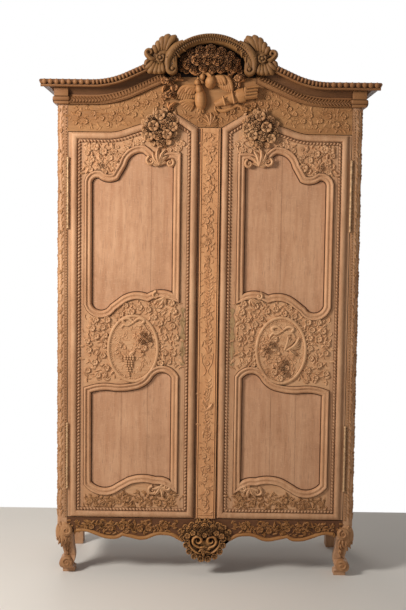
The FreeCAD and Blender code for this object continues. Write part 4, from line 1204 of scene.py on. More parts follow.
nicheLook = {
    "roses": [(-118, 2340, 44, 26), (-88, 2362, 46, 32), (-48, 2372, 50, 38), (-2, 2376, 52, 40), (44, 2366, 48, 38),
        (84, 2350, 46, 32), (112, 2326, 42, 24), (-104, 2312, 46, 34), (-62, 2330, 52, 44), (-16, 2332, 50, 46),
        (28, 2328, 50, 46), (68, 2312, 46, 38), (-130, 2300, 36, 20), (-34, 2298, 42, 40), (-78, 2292, 40, 32),
        (98, 2296, 38, 26), (6, 2290, 36, 38), (42, 2292, 38, 38)],
    "daisies": [(-68, 2352, 30, 40), (-26, 2354, 30, 44), (20, 2352, 30, 42), (62, 2340, 28, 38), (-90, 2334, 30, 36),
        (96, 2336, 26, 26), (-128, 2322, 28, 18), (122, 2304, 28, 16), (86, 2284, 28, 20), (-54, 2284, 28, 26),
        (-108, 2286, 28, 20), (128, 2286, 28, 12)],
    "tumble": [("daisy", -204, 2244, 34, 18), ("rose", -178, 2238, 34, 20), ("leaf", -196, 2228, 44, 160, 12),
        ("leaf", -168, 2232, 46, 190, 16), ("leaf", -150, 2250, 48, 120, 16), ("rose", -148, 2262, 34, 18),
        ("daisy", -160, 2214, 32, 14), ("daisy", -186, 2184, 34, 12), ("rose", -168, 2180, 34, 16),
        ("leaf", -200, 2200, 40, 215, 8), ("leaf", -176, 2204, 42, 150, 10), ("daisy", -208, 2172, 28, 8),
        ("leaf", -186, 2150, 44, 200, 8), ("leaf", -170, 2146, 42, 165, 10), ("leaf", -154, 2150, 40, 140, 10),
        ("daisy", -176, 2126, 26, 6), ("leaf", -140, 2262, 40, 90, 12), ("leaf", -120, 2250, 42, 100, 10),
        ("daisy", 118, 2258, 32, 14), ("rose", 142, 2262, 30, 12), ("leaf", 110, 2262, 42, 150, 10),
        ("leaf", 128, 2250, 40, 190, 8), ("leaf", 98, 2290, 44, 170, 10), ("daisy", 104, 2232, 28, 8),
        ("leaf", 150, 2252, 40, 120, 8), ("leaf", 120, 2232, 34, 210, 6)],
}


def deepRows(kind, rows, turn, lift):  # rows of x, z, size and depth, all in millimetres
    return [(kind, x / 1000, z / 1000, size / 1000, turn, lift, depth / 1000) for x, z, size, depth in rows]


def nicheFlowers():
    look = nicheLook
    rows = deepRows("rose", look["roses"], 0, 1.4) + deepRows("daisy", look["daisies"], 20, 1.8)
    for kind, x, z, size, *rest in look["tumble"]:
        turn, depth = rest if len(rest) == 2 else (0, rest[0])
        rows.append((kind, x / 1000, z / 1000, size / 1000, turn, 1.9, depth / 1000))
    rng = random.Random(17)
    for i in range(46):
        angle = math.radians(-8 + 196 * i / 45)
        away = rng.uniform(0.6, 0.9)
        x, z = 0.136 * math.cos(angle) * away, 2.292 + 0.088 * math.sin(angle) * away
        rows.append(("leaf", x, z, rng.uniform(0.034, 0.046), 90 - math.degrees(angle) + rng.uniform(-40, 40), 1.9,
                     rng.uniform(0.008, 0.03)))
    obj = joinAll([placeAll("heap", rows), mound(0.0, 2.33, 0.23, 0.03, 0.4)], "nicheFlowers")
    settle(obj, "oakNiche", replaced="crest_flowers")


def egg(x, z, wide, tall, high, turn=0.0, depth=0.0):  # rounded body of a bird
    obj = dome(0, 0, 1, 1, sides=16)
    inEdit(obj, (bpy.ops.mesh.subdivide, {"number_cuts": 1, "smoothness": 1.0}))
    obj.data.transform(shifted(x, face - depth, z) @ turned(math.radians(turn)) @ scaled(wide, high, tall))
    smoothAt(obj, 60)
    return obj


doveLook = {
    "left": {"eggs": [(-0.044, 2.166, 0.056, 0.108, 0.036, -4), (-0.052, 2.208, 0.038, 0.056, 0.034, -14, 0.004),
        (-0.058, 2.236, 0.03, 0.034, 0.03, -20, 0.01), (-0.092, 2.202, 0.064, 0.04, 0.014, 20, 0.004)], "necks": [],
        "wings": [((-0.062, 2.222), (-0.151, 2.166), (-0.078, 2.166), 8, (-0.016, 0.02), 0.019, 0.007, 0.006),
        ((-0.064, 2.218), (-0.112, 2.192), (-0.08, 2.186), 4, (-0.008, 0.01), 0.019, 0.007, 0.016),
        ((-0.07, 2.158), (-0.14, 2.148), (-0.09, 2.112), 6, (-0.004, 0.006), 0.017, 0.006, 0.002),
        ((-0.046, 2.14), (-0.058, 2.108), (-0.03, 2.106), 3, (0, 0), 0.014, 0.006, 0.008)],
        "beak": ("bud", -64, 2246, 22, -50, 1.2, 0.022)},
    "right": {"eggs": [(0.0, 2.244, 0.056, 0.07, 0.044, 12), (-0.036, 2.262, 0.026, 0.034, 0.03, 8, 0.012)],
        "necks": [([(0.002, 2.262), (-0.012, 2.277), (-0.028, 2.279), (-0.038, 2.268), (-0.04, 2.254)],
        [0.034, 0.032, 0.028, 0.024, 0.02])], "wings": [((0.02, 2.264), (0.097, 2.192), (0.03, 2.226), 8,
        (0.02, 0.026), 0.021, 0.008, 0.006), ((0.02, 2.262), (0.066, 2.228), (0.034, 2.236), 4, (0.01, 0.014), 0.02,
        0.008, 0.018)], "beak": ("bud", -40, 2250, 24, 190, 1.2, 0.026)},
}


def doves():
    for side, look in doveLook.items():
        parts = [egg(*row) for row in look["eggs"]]
        parts += [tube("neck", curveThrough(points, 5), widths, 0.03, 0.01) for points, widths in look["necks"]]
        for row in look["wings"]:
            parts += wing(*row)
        parts.append(placeAll("beak", metres([look["beak"]])))
        settle(joinAll(parts, side + "Dove"), "oakCrestLight", replaced="dove_" + side)


def cube(name):
    clearAll()
    bpy.ops.mesh.primitive_cube_add(size=1)
    return active(name)


quiverLook = {
    "widths": [0.026, 0.04, 0.048, 0.062],
    "mouth": [(0.116, 2.179), (0.128, 2.182), (0.15, 2.188)],
    "mouthWidths": [0.062, 0.07, 0.068],
    "torch": [(0.178, 0.016, 2.195), (0.058, 0.032, 0.054), -8],
    "ties": [(0.06, 2.158, 0.02), (0.1, 2.173, 0.027)],
    "ribbon": [(0.016, 2.126), (0.056, 2.116), (0.096, 2.128), (0.124, 2.14), (0.15, 2.124), (0.186, 2.12)],
    "leaves": [("leaf", 150, 2140, 40, 120, 1.8, 0.002), ("leaf", 178, 2140, 36, 100, 1.8, 0.002),
        ("daisy", 192, 2144, 26, 0, 1.8, 0.002), ("daisy", 152, 2122, 30, 0, 1.8, 0.004),
        ("leaf", 110, 2128, 36, 150, 1.8, 0.0), ("leaf", 206, 2132, 34, 110, 1.6, 0.0),
        ("leaf", 70, 2128, 34, 190, 1.6, 0.0), ("daisy", 100, 2114, 24, 0, 1.6, 0.002),
        ("leaf", 24, 2146, 34, 230, 1.8, 0.002), ("leaf", 22, 2138, 36, 200, 1.8, 0.004)],
}


def quiver():
    look = quiverLook
    path = [(0.02 + 0.014 * i, 2.142 + 0.0056 * i) for i in range(8)]
    parts = [tube("quiverBody", path, look["widths"], 0.028), tube("mouth", look["mouth"], look["mouthWidths"], 0.032)]
    (x, out, z), size, lean = look["torch"]
    torch = cube("torch")
    bevelled(torch, 0.08)
    torch.data.transform(shifted(x, face - out, z) @ turned(math.radians(lean)) @ scaled(*size))
    parts.append(torch)
    for i in range(4):
        x, z = 0.152 + 0.002 * i, 2.172 + 0.0138 * i
        parts.append(tube("rib", [(x, z), (x + 0.052, z + 0.0075)], [0.011, 0.011], 0.008, 0.03))
    for x, z, lean in look["ties"]:
        tie = [(x + 0.006, z - lean), (x, z), (x - 0.006, z + lean)]
        parts.append(tube("tie", tie, [0.01, 0.012, 0.01], 0.008, 0.026))
    parts.append(tube("ribbon", curveThrough(look["ribbon"], 6), [0.012, 0.018, 0.014, 0.018, 0.01], 0.01, 0.002))
    parts.append(placeAll("leaves", metres(look["leaves"])))
    settle(joinAll(parts, "quiverCarving"), "oakCrestLight", replaced="quiver")


archMoulding()
bothSides(shell(), "oakCrest", replaced="crest_shell_{}")
nicheFlowers()
doves()
quiver()
print("crest made")


# Cornice: gadrooned crown, leaf band and neck blocks

cornice = {
    "foot": 2.137,
    "bendX": 0.52,
    "radius": 0.458,
    "angle": 24.5,
    "corner": 0.741,
    "shellEdge": 0.286,
    "crownHeight": 0.0905,
    "crownPitch": 0.0165,
    "sidePitch": 0.0268,
    "sideFront": -0.262,
    "sideBack": 0.282,
    "sideNubs": 21,
    "fillet": [(0.056, 0.069), (0.0625, 0.07), (0.066, 0.0735), (0.0655, 0.0775), (0.061, 0.08)],
    "ground": [(0.0, 0.0005), (0.015, 0.001), (0.015, 0.004), (0.018, 0.005), (0.0202, 0.0194), (0.0178, 0.032),
        (0.015, 0.0345), (0.015, 0.041), (0.011, 0.0425)],
    "leafPitch": 0.014,
}


def cornicePath(height, start, end, step=0.01):  # line of the right front length at a height over its foot
    look = cornice
    low = look["foot"] + height
    angle = math.radians(look["angle"])
    radius = look["radius"] - height
    pivot = look["foot"] + look["radius"]
    made = []
    x = start
    while x > look["bendX"]:
        made.append((x, low))
        x -= step
    for i in range(17):
        a = angle * i / 16
        made.append((look["bendX"] - radius * math.sin(a), pivot - radius * math.cos(a)))
    last = made[-1]
    made.append((end, last[1] + (last[0] - end) * math.tan(angle)))
    return made


def corniceStrip(name, section, start, end):  # band that follows the cornice, through pairs of reach and height
    rings = [offFace(cornicePath(height, start, end), reach) for reach, height in section]
    count = min(len(ring) for ring in rings)
    return bandOf(name, [ring[len(ring) - count:] for ring in rings], 40)


def corniceCrown():
    look = cornice
    low, pitch = look["crownHeight"], look["sidePitch"]
    straight = [(look["corner"], look["foot"] + low), (look["bendX"] + 0.004, look["foot"] + low)]
    bent = cornicePath(low, look["bendX"] - 0.001, look["shellEdge"])
    crown = [nubs("crown", straight, pitch, 0.024, 0.026, 0.0115, 0.065, 10),
             nubs("crown", bent, look["crownPitch"], 0.0146, 0.026, 0.0125, 0.064, 10)]
    bead = dome(0, 0, 1.0, 1.0, sides=10)
    for i in range(look["sideNubs"]):
        spot = shifted(halfBody + 0.06, min(look["sideFront"] + pitch * i, look["sideBack"]), look["foot"] + low)
        crown.append(copyOf(bead, spot @ turned(math.pi / 2, "Z") @ scaled(0.0246, 0.0095, 0.025)))
    drop(bead)
    crown.append(corniceStrip("fillet", look["fillet"], 0.745, look["shellEdge"] - 0.02))
    return joinAll(crown, "rightCorniceCrown")


def corniceLeaves():
    ground = corniceStrip("ground", cornice["ground"], 0.625, 0.206)
    rows = [("leaf", x, z, 0.0225, 90 - math.degrees(course) + side * 40, 1.5, 0.019)
            for x, z, course in alongPath(cornicePath(0.019, 0.618, 0.206), cornice["leafPitch"], False)
            for side in (-1, 1)]
    return joinAll([ground, placeAll("leafBand", rows)], "rightCorniceLeaves")


neckLook = {  # x, z, reach off the face and edge rounding of each block
    "blocks": [(0.628, 0.69, 2.17, 2.2225, 0.033, 0.0015), (0.622, 0.698, 2.15, 2.171, 0.031, 0.008),
        (0.626, 0.692, 2.137, 2.151, 0.022, 0.003)],
    "behind": 0.075,
}


def neckBlocks():
    parts = []
    back = neckLook["behind"]
    for x0, x1, z0, z1, reach, soft in neckLook["blocks"]:
        block = cube("block")
        middle = shifted((x0 + x1) / 2, face + (back - reach) / 2, (z0 + z1) / 2)
        block.data.transform(middle @ scaled(x1 - x0, back + reach, z1 - z0))
        bevelled(block, soft, 3)
        smoothAt(block, 40)
        parts.append(block)
    return joinAll(parts, "rightNeckBlock")


# Frieze, posts and mullion

friezeLook = {
    "field": [(176, 2114), (214, 2130), (212, 2220), (270, 2196), (330, 2166), (400, 2142), (470, 2130), (622, 2128),
        (622, 2032), (455, 2032), (402, 2044), (352, 2062), (322, 2072), (310, 2120)],
    "flowers": [(560, 2062, 26), (486, 2078, 24), (440, 2100, 24), (524, 2098, 24), (590, 2096, 24), (408, 2076, 26),
        (372, 2106, 22), (342, 2096, 24), (332, 2142, 24), (290, 2150, 24), (250, 2176, 22), (244, 2140, 24),
        (462, 2052, 22), (604, 2056, 20), (218, 2150, 22), (350, 2128, 20)],
    "stems": [[(0.612, 2.05), (0.57, 2.08), (0.52, 2.07), (0.47, 2.098), (0.42, 2.09)],
        [(0.42, 2.11), (0.38, 2.09), (0.345, 2.112), (0.33, 2.14), (0.28, 2.15)],
        [(0.604, 2.105), (0.56, 2.11), (0.51, 2.112), (0.47, 2.118)]],
    "tongue": [(-75, 0.04, 1.0, 1.2), (-48, 0.05, 1.0, 1.3), (-24, 0.056, 1.0, 1.4), (0, 0.06, 1.0, 1.4),
        (24, 0.056, 1.0, 1.4), (48, 0.05, 1.0, 1.3), (75, 0.04, 1.0, 1.2)],
    "bouquet": (0.222, 2.045, 0.094, 0.088),  # left free for the flowers at the head of the door
    "tongueField": [(-60, 2050), (60, 2050), (140, 2098), (120, 2112), (-120, 2112), (-140, 2098)],
}


def friezeCarving():
    look = friezeLook
    blocked = [ellipse(*look["bouquet"])]
    for side, label in ((1, "right"), (-1, "left")):
        spots = sown(pairs(look["field"]), blocked, 0.0125, 61 + side, 5000)
        rows = foliage(spots, ["leaf", "blade", "blade", "leaf", "lobed"], (0.016, 0.027), 63 + side, 1.0)
        rows += [("daisy" if i % 3 else "star", x / 1000 + side * 0.004, z / 1000, size / 1000, 17 * i, 1.4)
                 for i, (x, z, size) in enumerate(look["flowers"])]
        leaves = placeAll("friezeCarving", rows)
        stems = [tube("stem", curveThrough(points, 6), [0.004, 0.003], 0.0028) for points in look["stems"]]
        right = joinAll([leaves] + stems, "rightFriezeCarving")
        settle(movedTo(label, right, "leftFriezeCarving"), "oakLitFriezeLeaves")
    parts = fanOf(0.0, 2.052, look["tongue"])
    spots = sown(pairs(look["tongueField"]), [], 0.0125, 67)
    parts.append(placeAll("around", foliage(spots, ["leaf", "blade"], (0.016, 0.026), 68, 1.1)))
    for side in (-1, 1):
        curl = spiral(side * 0.042, 2.074, 0.015, math.pi / 2 + side * 0.6, -side * 0.9)
        parts.append(tube("curl", curl, [0.008, 0.006, 0.004], 0.005))
    settle(joinAll(parts, "friezeTongueCarving"), "oakLitFriezeLeaves")
    for side in (-1, 1):  # joint between the frieze rail and the post
        x = side * 0.6335
        settle(tube("friezeJoint", [(x, 2.034), (x, 2.14)], [0.0018, 0.0018], 0.0005), "oakJointsAndShadeLines")


postLook = {
    "corner": 0.024,
    "low": 0.262,
    "high": 2.128,
    "step": 0.015,
    "ropeX": 0.6425,
    "ropeStep": 0.005,
    "sunk": 0.0006,
}


def postCarving():
    look = postLook
    corner, low, tall = look["corner"], look["low"], look["high"] - look["low"]
    out = shifted(0, -corner + look["sunk"], 0)
    rng = random.Random(71)
    made = []
    for i in range(int(tall / look["step"])):
        edge = shifted(halfBody - corner, face + corner, low + look["step"] * i + 0.004)
        sway = math.sin(i * 0.55)
        for j, (kind, size) in enumerate((("leaf", 0.024), ("lobed" if i % 2 else "blade", 0.022))):
            angle = math.radians(25 + 5 * sway + (-13 if j else 13))
            turn = math.radians((24 if j else -24) + rng.uniform(-10, 10))
            spot = edge @ turned(angle, "Z") @ out @ turned(-turn) @ scaled(size, size * 1.1, size)
            made.append(copyOf(kinds[kind], spot))
        if i % 6 == 3:
            spot = edge @ turned(math.radians(32 - 10 * sway), "Z") @ out @ scaled(0.02, 0.03, 0.02)
            made.append(copyOf(kinds["daisy"], spot))
    rope = [(look["ropeX"], low + look["ropeStep"] * i) for i in range(int(tall / look["ropeStep"]))]
    parts = [joinAll(made, "leaves"), nubs("rope", rope, 0.0125, 0.01, 0.006, 0.0038, 0.0)]
    parts += [tube("line", [(x, low), (x, look["high"])], [0.0022, 0.0022], 0.0014)
              for x in (look["ropeX"] - 0.0052, look["ropeX"] + 0.0052)]
    return joinAll(parts, "rightPostCarving")


mullionLook = {
    "lift": 0.006,
    "beadX": 0.0375,
    "low": 0.27,
    "high": 2.036,
    "fieldHalf": 0.0165,
    "stems": [(0.6, 0.905), (1.06, 1.47)],
    "cup": [(0.026, 1.03), (0.022, 0.99), (0.01, 0.966), (0.004, 0.95), (0.012, 0.934), (0.022, 0.926)],
    "leaves": [("leaf", 0, 770, 48, -38, 1.1), ("leaf", 0, 770, 44, 30, 1.1), ("leaf", 0, 1030, 36, -30, 0.9),
        ("leaf", 0, 1030, 36, 30, 0.9), ("leaf", 0, 1030, 40, 0, 0.9)],
    "fields": [(1.462, 2.02, 0.01, (0.017, 0.023), 82), (1.07, 1.45, 0.014, (0.016, 0.024), 84),
        (0.615, 0.895, 0.015, (0.016, 0.024), 85), (0.3, 0.6, 0.0105, (0.017, 0.023), 83)],
    "flowers": [(-6, 2008, 26), (8, 1946, 28), (-4, 1902, 30), (12, 1852, 26), (-10, 1822, 30), (8, 1776, 30),
        (-8, 1722, 26), (6, 1668, 28), (-10, 1628, 26), (8, 1584, 26), (-6, 1530, 24), (4, 1408, 20), (0, 986, 22),
        (-8, 560, 24), (8, 512, 24), (-6, 452, 24), (8, 392, 26), (-4, 340, 24)],
}


def mullionCarving():
    look = mullionLook
    lift, foot, head = look["lift"], look["low"], look["high"]
    rows = []
    rng = random.Random(81)
    wide = look["fieldHalf"]
    for low, high, spacing, size, seed in look["fields"]:
        field = [(-wide, low), (wide, low), (wide, high), (-wide, high)]
        rows += foliage(sown(field, [], spacing, seed, 4000), ["leaf", "blade", "lobed", "leaf"], size, seed, 1.3, lift)
    stem = [(0.007 * math.sin(i * 0.42), 0.6 + 0.015 * i) for i in range(59)]
    for i in range(2, 58):  # a slight vine between the two dense parts
        x, z = stem[i]
        if 0.9 < z < 1.06:
            continue
        for side in (-1, 1):
            rows.append(("leaf" if (i + side) % 4 else "blade", x, z, rng.uniform(0.019, 0.026),
                         side * rng.uniform(30, 60), 0.9, lift))
    rows += [("daisy" if i % 2 else "star", x / 1000, z / 1000, size / 1000, 13 * i, 1.1, lift)
             for i, (x, z, size) in enumerate(look["flowers"])]
    rows += [(*row, lift) for row in metres(look["leaves"])]
    parts = [placeAll("leaves", rows)]
    for low, high in look["stems"]:
        part = [spot for spot in stem if low <= spot[1] <= high]
        parts.append(tube("stem", part, [0.0034, 0.0034], 0.0022, lift))
    parts.append(tube("edge", [(0.0452, foot), (0.0452, head)], [0.005, 0.005], 0.003, lift))
    for side in (-1, 1):
        x = side * look["beadX"]
        parts.append(tube("bead", [(x, foot), (x, head)], [0.0052, 0.0052], 0.0036, lift))
        cup = curveThrough([(side * x, z) for x, z in look["cup"]], 4)
        parts.append(tube("cup", cup, [0.006, 0.006, 0.005, 0.004], 0.0034, lift))
        curl = spiral(side * 0.012, 1.012, 0.01, math.pi / 2, -side * 0.9)
        parts.append(tube("curl", curl, [0.005, 0.003], 0.003, lift))
    parts.append(tube("foot", [(-0.034, 0.287), (0.034, 0.287)], [0.006, 0.006], 0.004, lift))
    settle(joinAll(parts, "mullionCarving"), "oakMullion", "left_door")
    # Painted shade: a flat dark strip in the gap beside the mullion
    gap = tube("mullionGapShade", [(-0.0446, foot), (-0.0446, head)], [0.0064, 0.0064], 0.0004, lift)
    settle(gap, "oakJointsAndShadeLines", "left_door")


bothSides(corniceCrown(), "oakCrown")
bothSides(corniceLeaves(), "oakCrown")
bothSides(neckBlocks(), "oakCrown")
friezeCarving()
bothSides(postCarving(), "oakPost")
mullionCarving()
print("cornice, frieze, post and mullion carvings made")


# Apron edge, flower basket and feet

apronLook = {
    "knee": 0.195,
    "drop": 0.071,
    "edgeShares": [[(0.93, 0.0), (0.86, -0.04), (0.74, 0.33), (0.68, 0.42), (0.63, 0.38), (0.595, 0.21)],
        [(0.595, 0.21), (0.52, 0.36), (0.47, 0.45), (0.42, 0.4), (0.36, 0.18), (0.32, 0.11)],
        [(0.32, 0.11), (0.25, 0.16), (0.2, 0.38), (0.16, 0.56)]],
    "section": [(0.0, 0.0), (0.0, 0.0036), (-0.003, 0.0062), (-0.008, 0.0074), (-0.0125, 0.006), (-0.015, 0.0028),
        (-0.0165, 0.0)],
    "field": [(128, 252), (132, 206), (190, 206), (300, 192), (352, 196), (420, 190), (540, 200), (600, 192),
        (606, 252)],
    "flowers": [("daisy", 256, 218, 30, 0, 1.9), ("daisy", 296, 214, 28, 20, 1.9), ("star", 380, 222, 28, 0, 1.9),
        ("daisy", 430, 216, 26, 0, 1.9), ("star", 520, 224, 28, 0, 1.9), ("daisy", 180, 230, 28, 0, 1.9),
        ("star", 560, 216, 24, 0, 1.8), ("rose", 338, 228, 24, 0, 1.6), ("rose", 476, 230, 24, 0, 1.6)],
    "vine": [(140, 226), (190, 236), (240, 222), (290, 238), (340, 216), (390, 236), (450, 222), (510, 238),
        (560, 224), (600, 236)],
}


def apronEdge():
    look = apronLook
    path = []
    for row in look["edgeShares"]:
        points = [(0.634 * u, look["knee"] - look["drop"] * v) for u, v in row]
        path += curveThrough(points, 6)
    path.append(points[-1])
    return bandOf("edge", [offFace(grown(path, -away, False), height) for away, height in look["section"]], 50)


def apronCarving():
    look = apronLook
    edge = apronEdge()
    spots = sown(pairs(look["field"]), [], 0.0112, 91, 4000)
    rows = foliage(spots, ["leaf", "leaf", "blade", "lobed"], (0.02, 0.03), 92, 1.7) + metres(look["flowers"])
    vine = curveThrough(pairs(look["vine"]), 6)
    rows += leavesAlong(vine, 0.011, 0.022, 46, 1.7)
    stem = tube("vine", vine, [0.004, 0.004], 0.004)
    return joinAll([edge, stem, placeAll("leaves", rows)], "rightApronCarving")


basketLook = {
    "z": 0.168,
    "radius": 0.092,
    "lift": 0.026,
    "roses": [(0, 232, 42, 18), (-38, 228, 36, 18), (38, 228, 36, 18), (-70, 218, 34, 14), (70, 218, 34, 14),
        (-20, 208, 32, 24), (20, 208, 32, 24), (-94, 200, 30, 10), (94, 200, 30, 10), (0, 250, 26, 8)],
    "daisies": [(-54, 206, 28, 22), (54, 206, 28, 22), (-20, 246, 26, 10), (22, 246, 26, 10), (-58, 240, 28, 8),
        (60, 240, 28, 8), (-88, 228, 26, 4), (88, 228, 26, 4), (0, 198, 24, 28), (-78, 192, 28, 22),
        (78, 192, 28, 22), (-104, 182, 24, 8), (104, 182, 24, 8)],
    "rim": [(0.086, 0.19), (0.0, 0.204), (-0.086, 0.19)],
    "curls": (19, 172, 196),  # count, first angle and sweep
    "crown": (26, 4, 172),
    "curlKinds": [("daisy", 0.93, 0.031, 2.6, 0.55), ("leaf", 0.66, 0.036, 2.4, 0.6)],
    "scrollStart": [(0.004, 0.118), (0.02, 0.136)],
    "scrollWidths": [0.012, 0.014, 0.014, 0.011, 0.008],
    "hoop": [(0.008, 0.108), (0.042, 0.118), (0.066, 0.146), (0.07, 0.178)],
    "hoopWidths": [0.01, 0.014, 0.013, 0.008],
    "lowLeaves": [(0.006, 0.134, 0.04, 118), (0.004, 0.132, 0.036, 84), (0.004, 0.136, 0.034, 150)],
    "sideLeaves": [(0.09, 0.214, 0.036, 72), (0.09, 0.2, 0.038, 92), (0.088, 0.186, 0.036, 112),
        (0.084, 0.172, 0.032, 128), (0.084, 0.226, 0.034, 48)],
}


def apronBasket():
    look = basketLook
    middle, radius, lift = look["z"], look["radius"], look["lift"]
    disc = ellipse(0.0, middle, radius, radius, 56)
    lower = [spot for spot in disc if spot[1] <= middle + 0.001]
    parts = [slabOf("bowl", lower + look["rim"], lift - 0.01, 0.0, 0.01)]
    rows = []
    count, first, sweep = look["curls"]
    for i in range(count):  # curls round the lower edge, with leaves between them
        angle = math.radians(first + sweep * i / (count - 1))
        kind, away, size, high, out = look["curlKinds"][i % 2]
        turn = 90 - math.degrees(angle) if i % 2 else 20 * i
        rows.append((kind, radius * away * math.cos(angle), middle + radius * away * math.sin(angle), size, turn, high,
                     lift * out))
    for side in (-1, 1):
        start = [(side * x, z) for x, z in look["scrollStart"]]
        curl = spiral(side * 0.03, 0.17, 0.026, -1.1 if side > 0 else math.pi + 1.1, side * 1.3, 22, 0.75)
        parts.append(tube("scroll", start + curl, look["scrollWidths"], 0.014, lift * 0.8))
        hoop = curveThrough([(side * x, z) for x, z in look["hoop"]], 6)
        parts.append(tube("outer", hoop, look["hoopWidths"], 0.012, lift * 0.7))
        rows += [("leaf", side * x, z, size, side * turn, 2.2, lift) for x, z, size, turn in look["lowLeaves"]]
    rows += deepRows("rose", look["roses"], 0, 1.4) + deepRows("daisy", look["daisies"], 15, 1.8)
    rows += [("leaf", 0.0, 0.126, 0.034, 180, 2.4, lift), ("rose", 0.0, 0.136, 0.026, 0, 1.2, lift * 1.1)]
    for side in (-1, 1):  # leaves spread to both sides of the rim
        rows += [("leaf", side * x, z, size, side * turn, 2.2, 0.004) for x, z, size, turn in look["sideLeaves"]]
        rows.append(("daisy", side * 0.112, 0.206, 0.024, 10, 1.8, 0.004))
        rows.append(("star", side * 0.104, 0.186, 0.022, 0, 1.8, 0.004))
    rng = random.Random(19)
    count, first, sweep = look["crown"]
    for i in range(count):
        angle = math.radians(first + sweep * i / (count - 1))
        rows.append(("leaf", 0.082 * math.cos(angle), 0.198 + 0.036 * math.sin(angle), rng.uniform(0.032, 0.042),
                     90 - math.degrees(angle) + rng.uniform(-30, 30), 1.6, 0.006))
    parts.append(placeAll("leaves", rows))
    settle(joinAll(parts, "apronBasketCarving"), "oakBasket", replaced="apron_basket")


footLook = {
    "knee": (0.65, 0.192, 0.074, 0.118, 0.052),
    "volute": (0.634, 0.207, 0.054),
    "toe": (0.635, 0.052, 0.027),
    "leaves": [(664, 244, 30, 172, 1.4, 4), (673, 232, 34, 178, 1.4, 1), (665, 222, 36, 182, 1.5, 6),
        (675, 208, 34, 184, 1.4, 1), (667, 198, 36, 187, 1.5, 6), (674, 184, 32, 190, 1.4, 0),
        (663, 176, 34, 192, 1.5, 6), (667, 162, 30, 194, 1.4, -1), (652, 172, 34, 186, 1.5, 9),
        (640, 180, 34, 178, 1.6, 10), (626, 178, 30, 172, 1.5, 5), (655, 150, 30, 190, 1.4, -4),
        (634, 160, 36, 180, 1.7, -9), (623, 152, 30, 186, 1.6, -14), (645, 152, 30, 174, 1.6, -14),
        (634, 132, 34, 180, 1.7, -20), (626, 122, 28, 188, 1.6, -23), (642, 122, 28, 172, 1.6, -23),
        (634, 104, 26, 180, 1.6, -28)],
}


def roundPlug(name, place, radius, length, soft):  # short cylinder that points to the front
    clearAll()
    bpy.ops.mesh.primitive_cylinder_add(vertices=32, radius=radius, depth=length)
    obj = active(name)
    bevelled(obj, soft)
    obj.data.transform(shifted(*place) @ turned(math.pi / 2, "X"))
    smoothAt(obj, 40)
    return obj


def footCarving():
    look = footLook
    x, z, wide, tall, deep = look["knee"]
    clearAll()
    bpy.ops.mesh.primitive_uv_sphere_add(segments=28, ring_count=18, radius=0.5)
    knee = active("knee")
    knee.data.transform(shifted(x, face + 0.012, z) @ scaled(wide, deep, tall))
    smoothAt(knee, 60)
    x, z, size = look["volute"]
    parts = [knee, roundPlug("volute", (x, face - 0.006, z), size / 2, 0.028, 0.004),
             tube("kneeCurl", spiral(x, z, size * 0.4, 1.9, 1.3, 24, 0.85), [0.009, 0.01, 0.008, 0.006], 0.006, 0.02)]
    x, z, radius = look["toe"]
    parts.append(roundPlug("toe", (x, face + 0.027, z), radius, 0.06, 0.004))
    parts.append(tube("toeCurl", spiral(x, z, radius * 0.8, 2.4, -1.3, 24, 0.82), [0.009, 0.008, 0.006], 0.005, 0.003))
    rows = [("lobed" if i % 3 == 2 else "leaf", *row) for i, row in enumerate(look["leaves"])]
    parts.append(placeAll("leaves", [(kind, x / 1000, z / 1000, size / 1000, turn, lift, depth / 1000)
                                     for kind, x, z, size, turn, lift, depth in rows]))
    return joinAll(parts, "rightFootCarving")


bothSides(apronCarving(), "oakLitApronLeaves")
apronBasket()
bothSides(footCarving(), "oakPost")
print("apron and feet made")


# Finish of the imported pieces

nodeLooks = {  # a name with {} stands for the right and the left piece
    # painted shade: the apron rail is darkened as it lies under the doors
    "oakShadedApron": ["apron_rail"],
    # painted shade: the niche backboard is darkened as the hollow niche lies in shadow
    "oakNicheShade": ["crest_backboard"],
    "oakFrieze": ["frieze_rail"],
    "oakLevel": ["{}_door_bottom_rail", "{}_door_middle_rail", "{}_door_top_rail"],
    "oakMullion": ["mullion"],
    "oakUpright": ["front_post_{}", "back_post_{}", "{}_door_hinge_stile", "{}_door_meeting_stile", "carcass_pegs"],
    "oakPanel": ["{}_door_panels", "side_panels_{}"],
    "oakDeep": ["side_rails_{}"],
    # painted shade of the hollow cornice cove
    "oakShadedCove": ["cornice_front_{}"],
    "oakShadedCoveSide": ["cornice_side_{}"],
    "oakCrest": ["crest_arch", "crest_shell_{}", "crest_flowers", "dove_{}", "quiver", "apron_basket",
        "{}_door_bouquet"],
    "oakInside": ["back_panels", "roof_boards", "shelf_cleats"],
    "oakShelf": ["floor_boards", "shelf_lower", "shelf_middle", "shelf_upper", "back_rails_and_muntins"],
    "oldIron": ["post_hinge_halves", "{}_door_hinge_halves", "lock_case", "lock_bolt", "lock_keeper",
        "left_door_bolt", "bolt_guides", "bolt_keeper"],
    "tarnishedBrass": ["{}_door_escutcheon"],
}


def finishNodes():
    for look, names in nodeLooks.items():
        for name in names:
            for side in ("right", "left") if "{}" in name else ("",):
                wear(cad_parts[name.format(side)], look)


finishNodes()
print("packed pieces finished")


# Floor, light and camera

stageLook = {
    "floor": tone(226, 222, 216),
    "backdrop": 1.0,
    "world": 0.2,
    "lamps": {  # place, target, size and power
        "keyLamp": ((-2.6, -2.2, 2.6), (0, 0, 1.4), (0.8, 0.8), 124.0),
        "fillLamp": ((2.9, -3.2, 1.7), (0, 0, 1.2), (2.2, 2.2), 3.5),
        "backLamp": ((-0.8, 3.4, 2.2), (0, 0.3, 1.2), (1.6, 1.6), 30.0),
        "topLamp": ((0.0, -0.6, 3.9), (0, 0, 1.4), (2.0, 1.6), 5.0),
    },
}


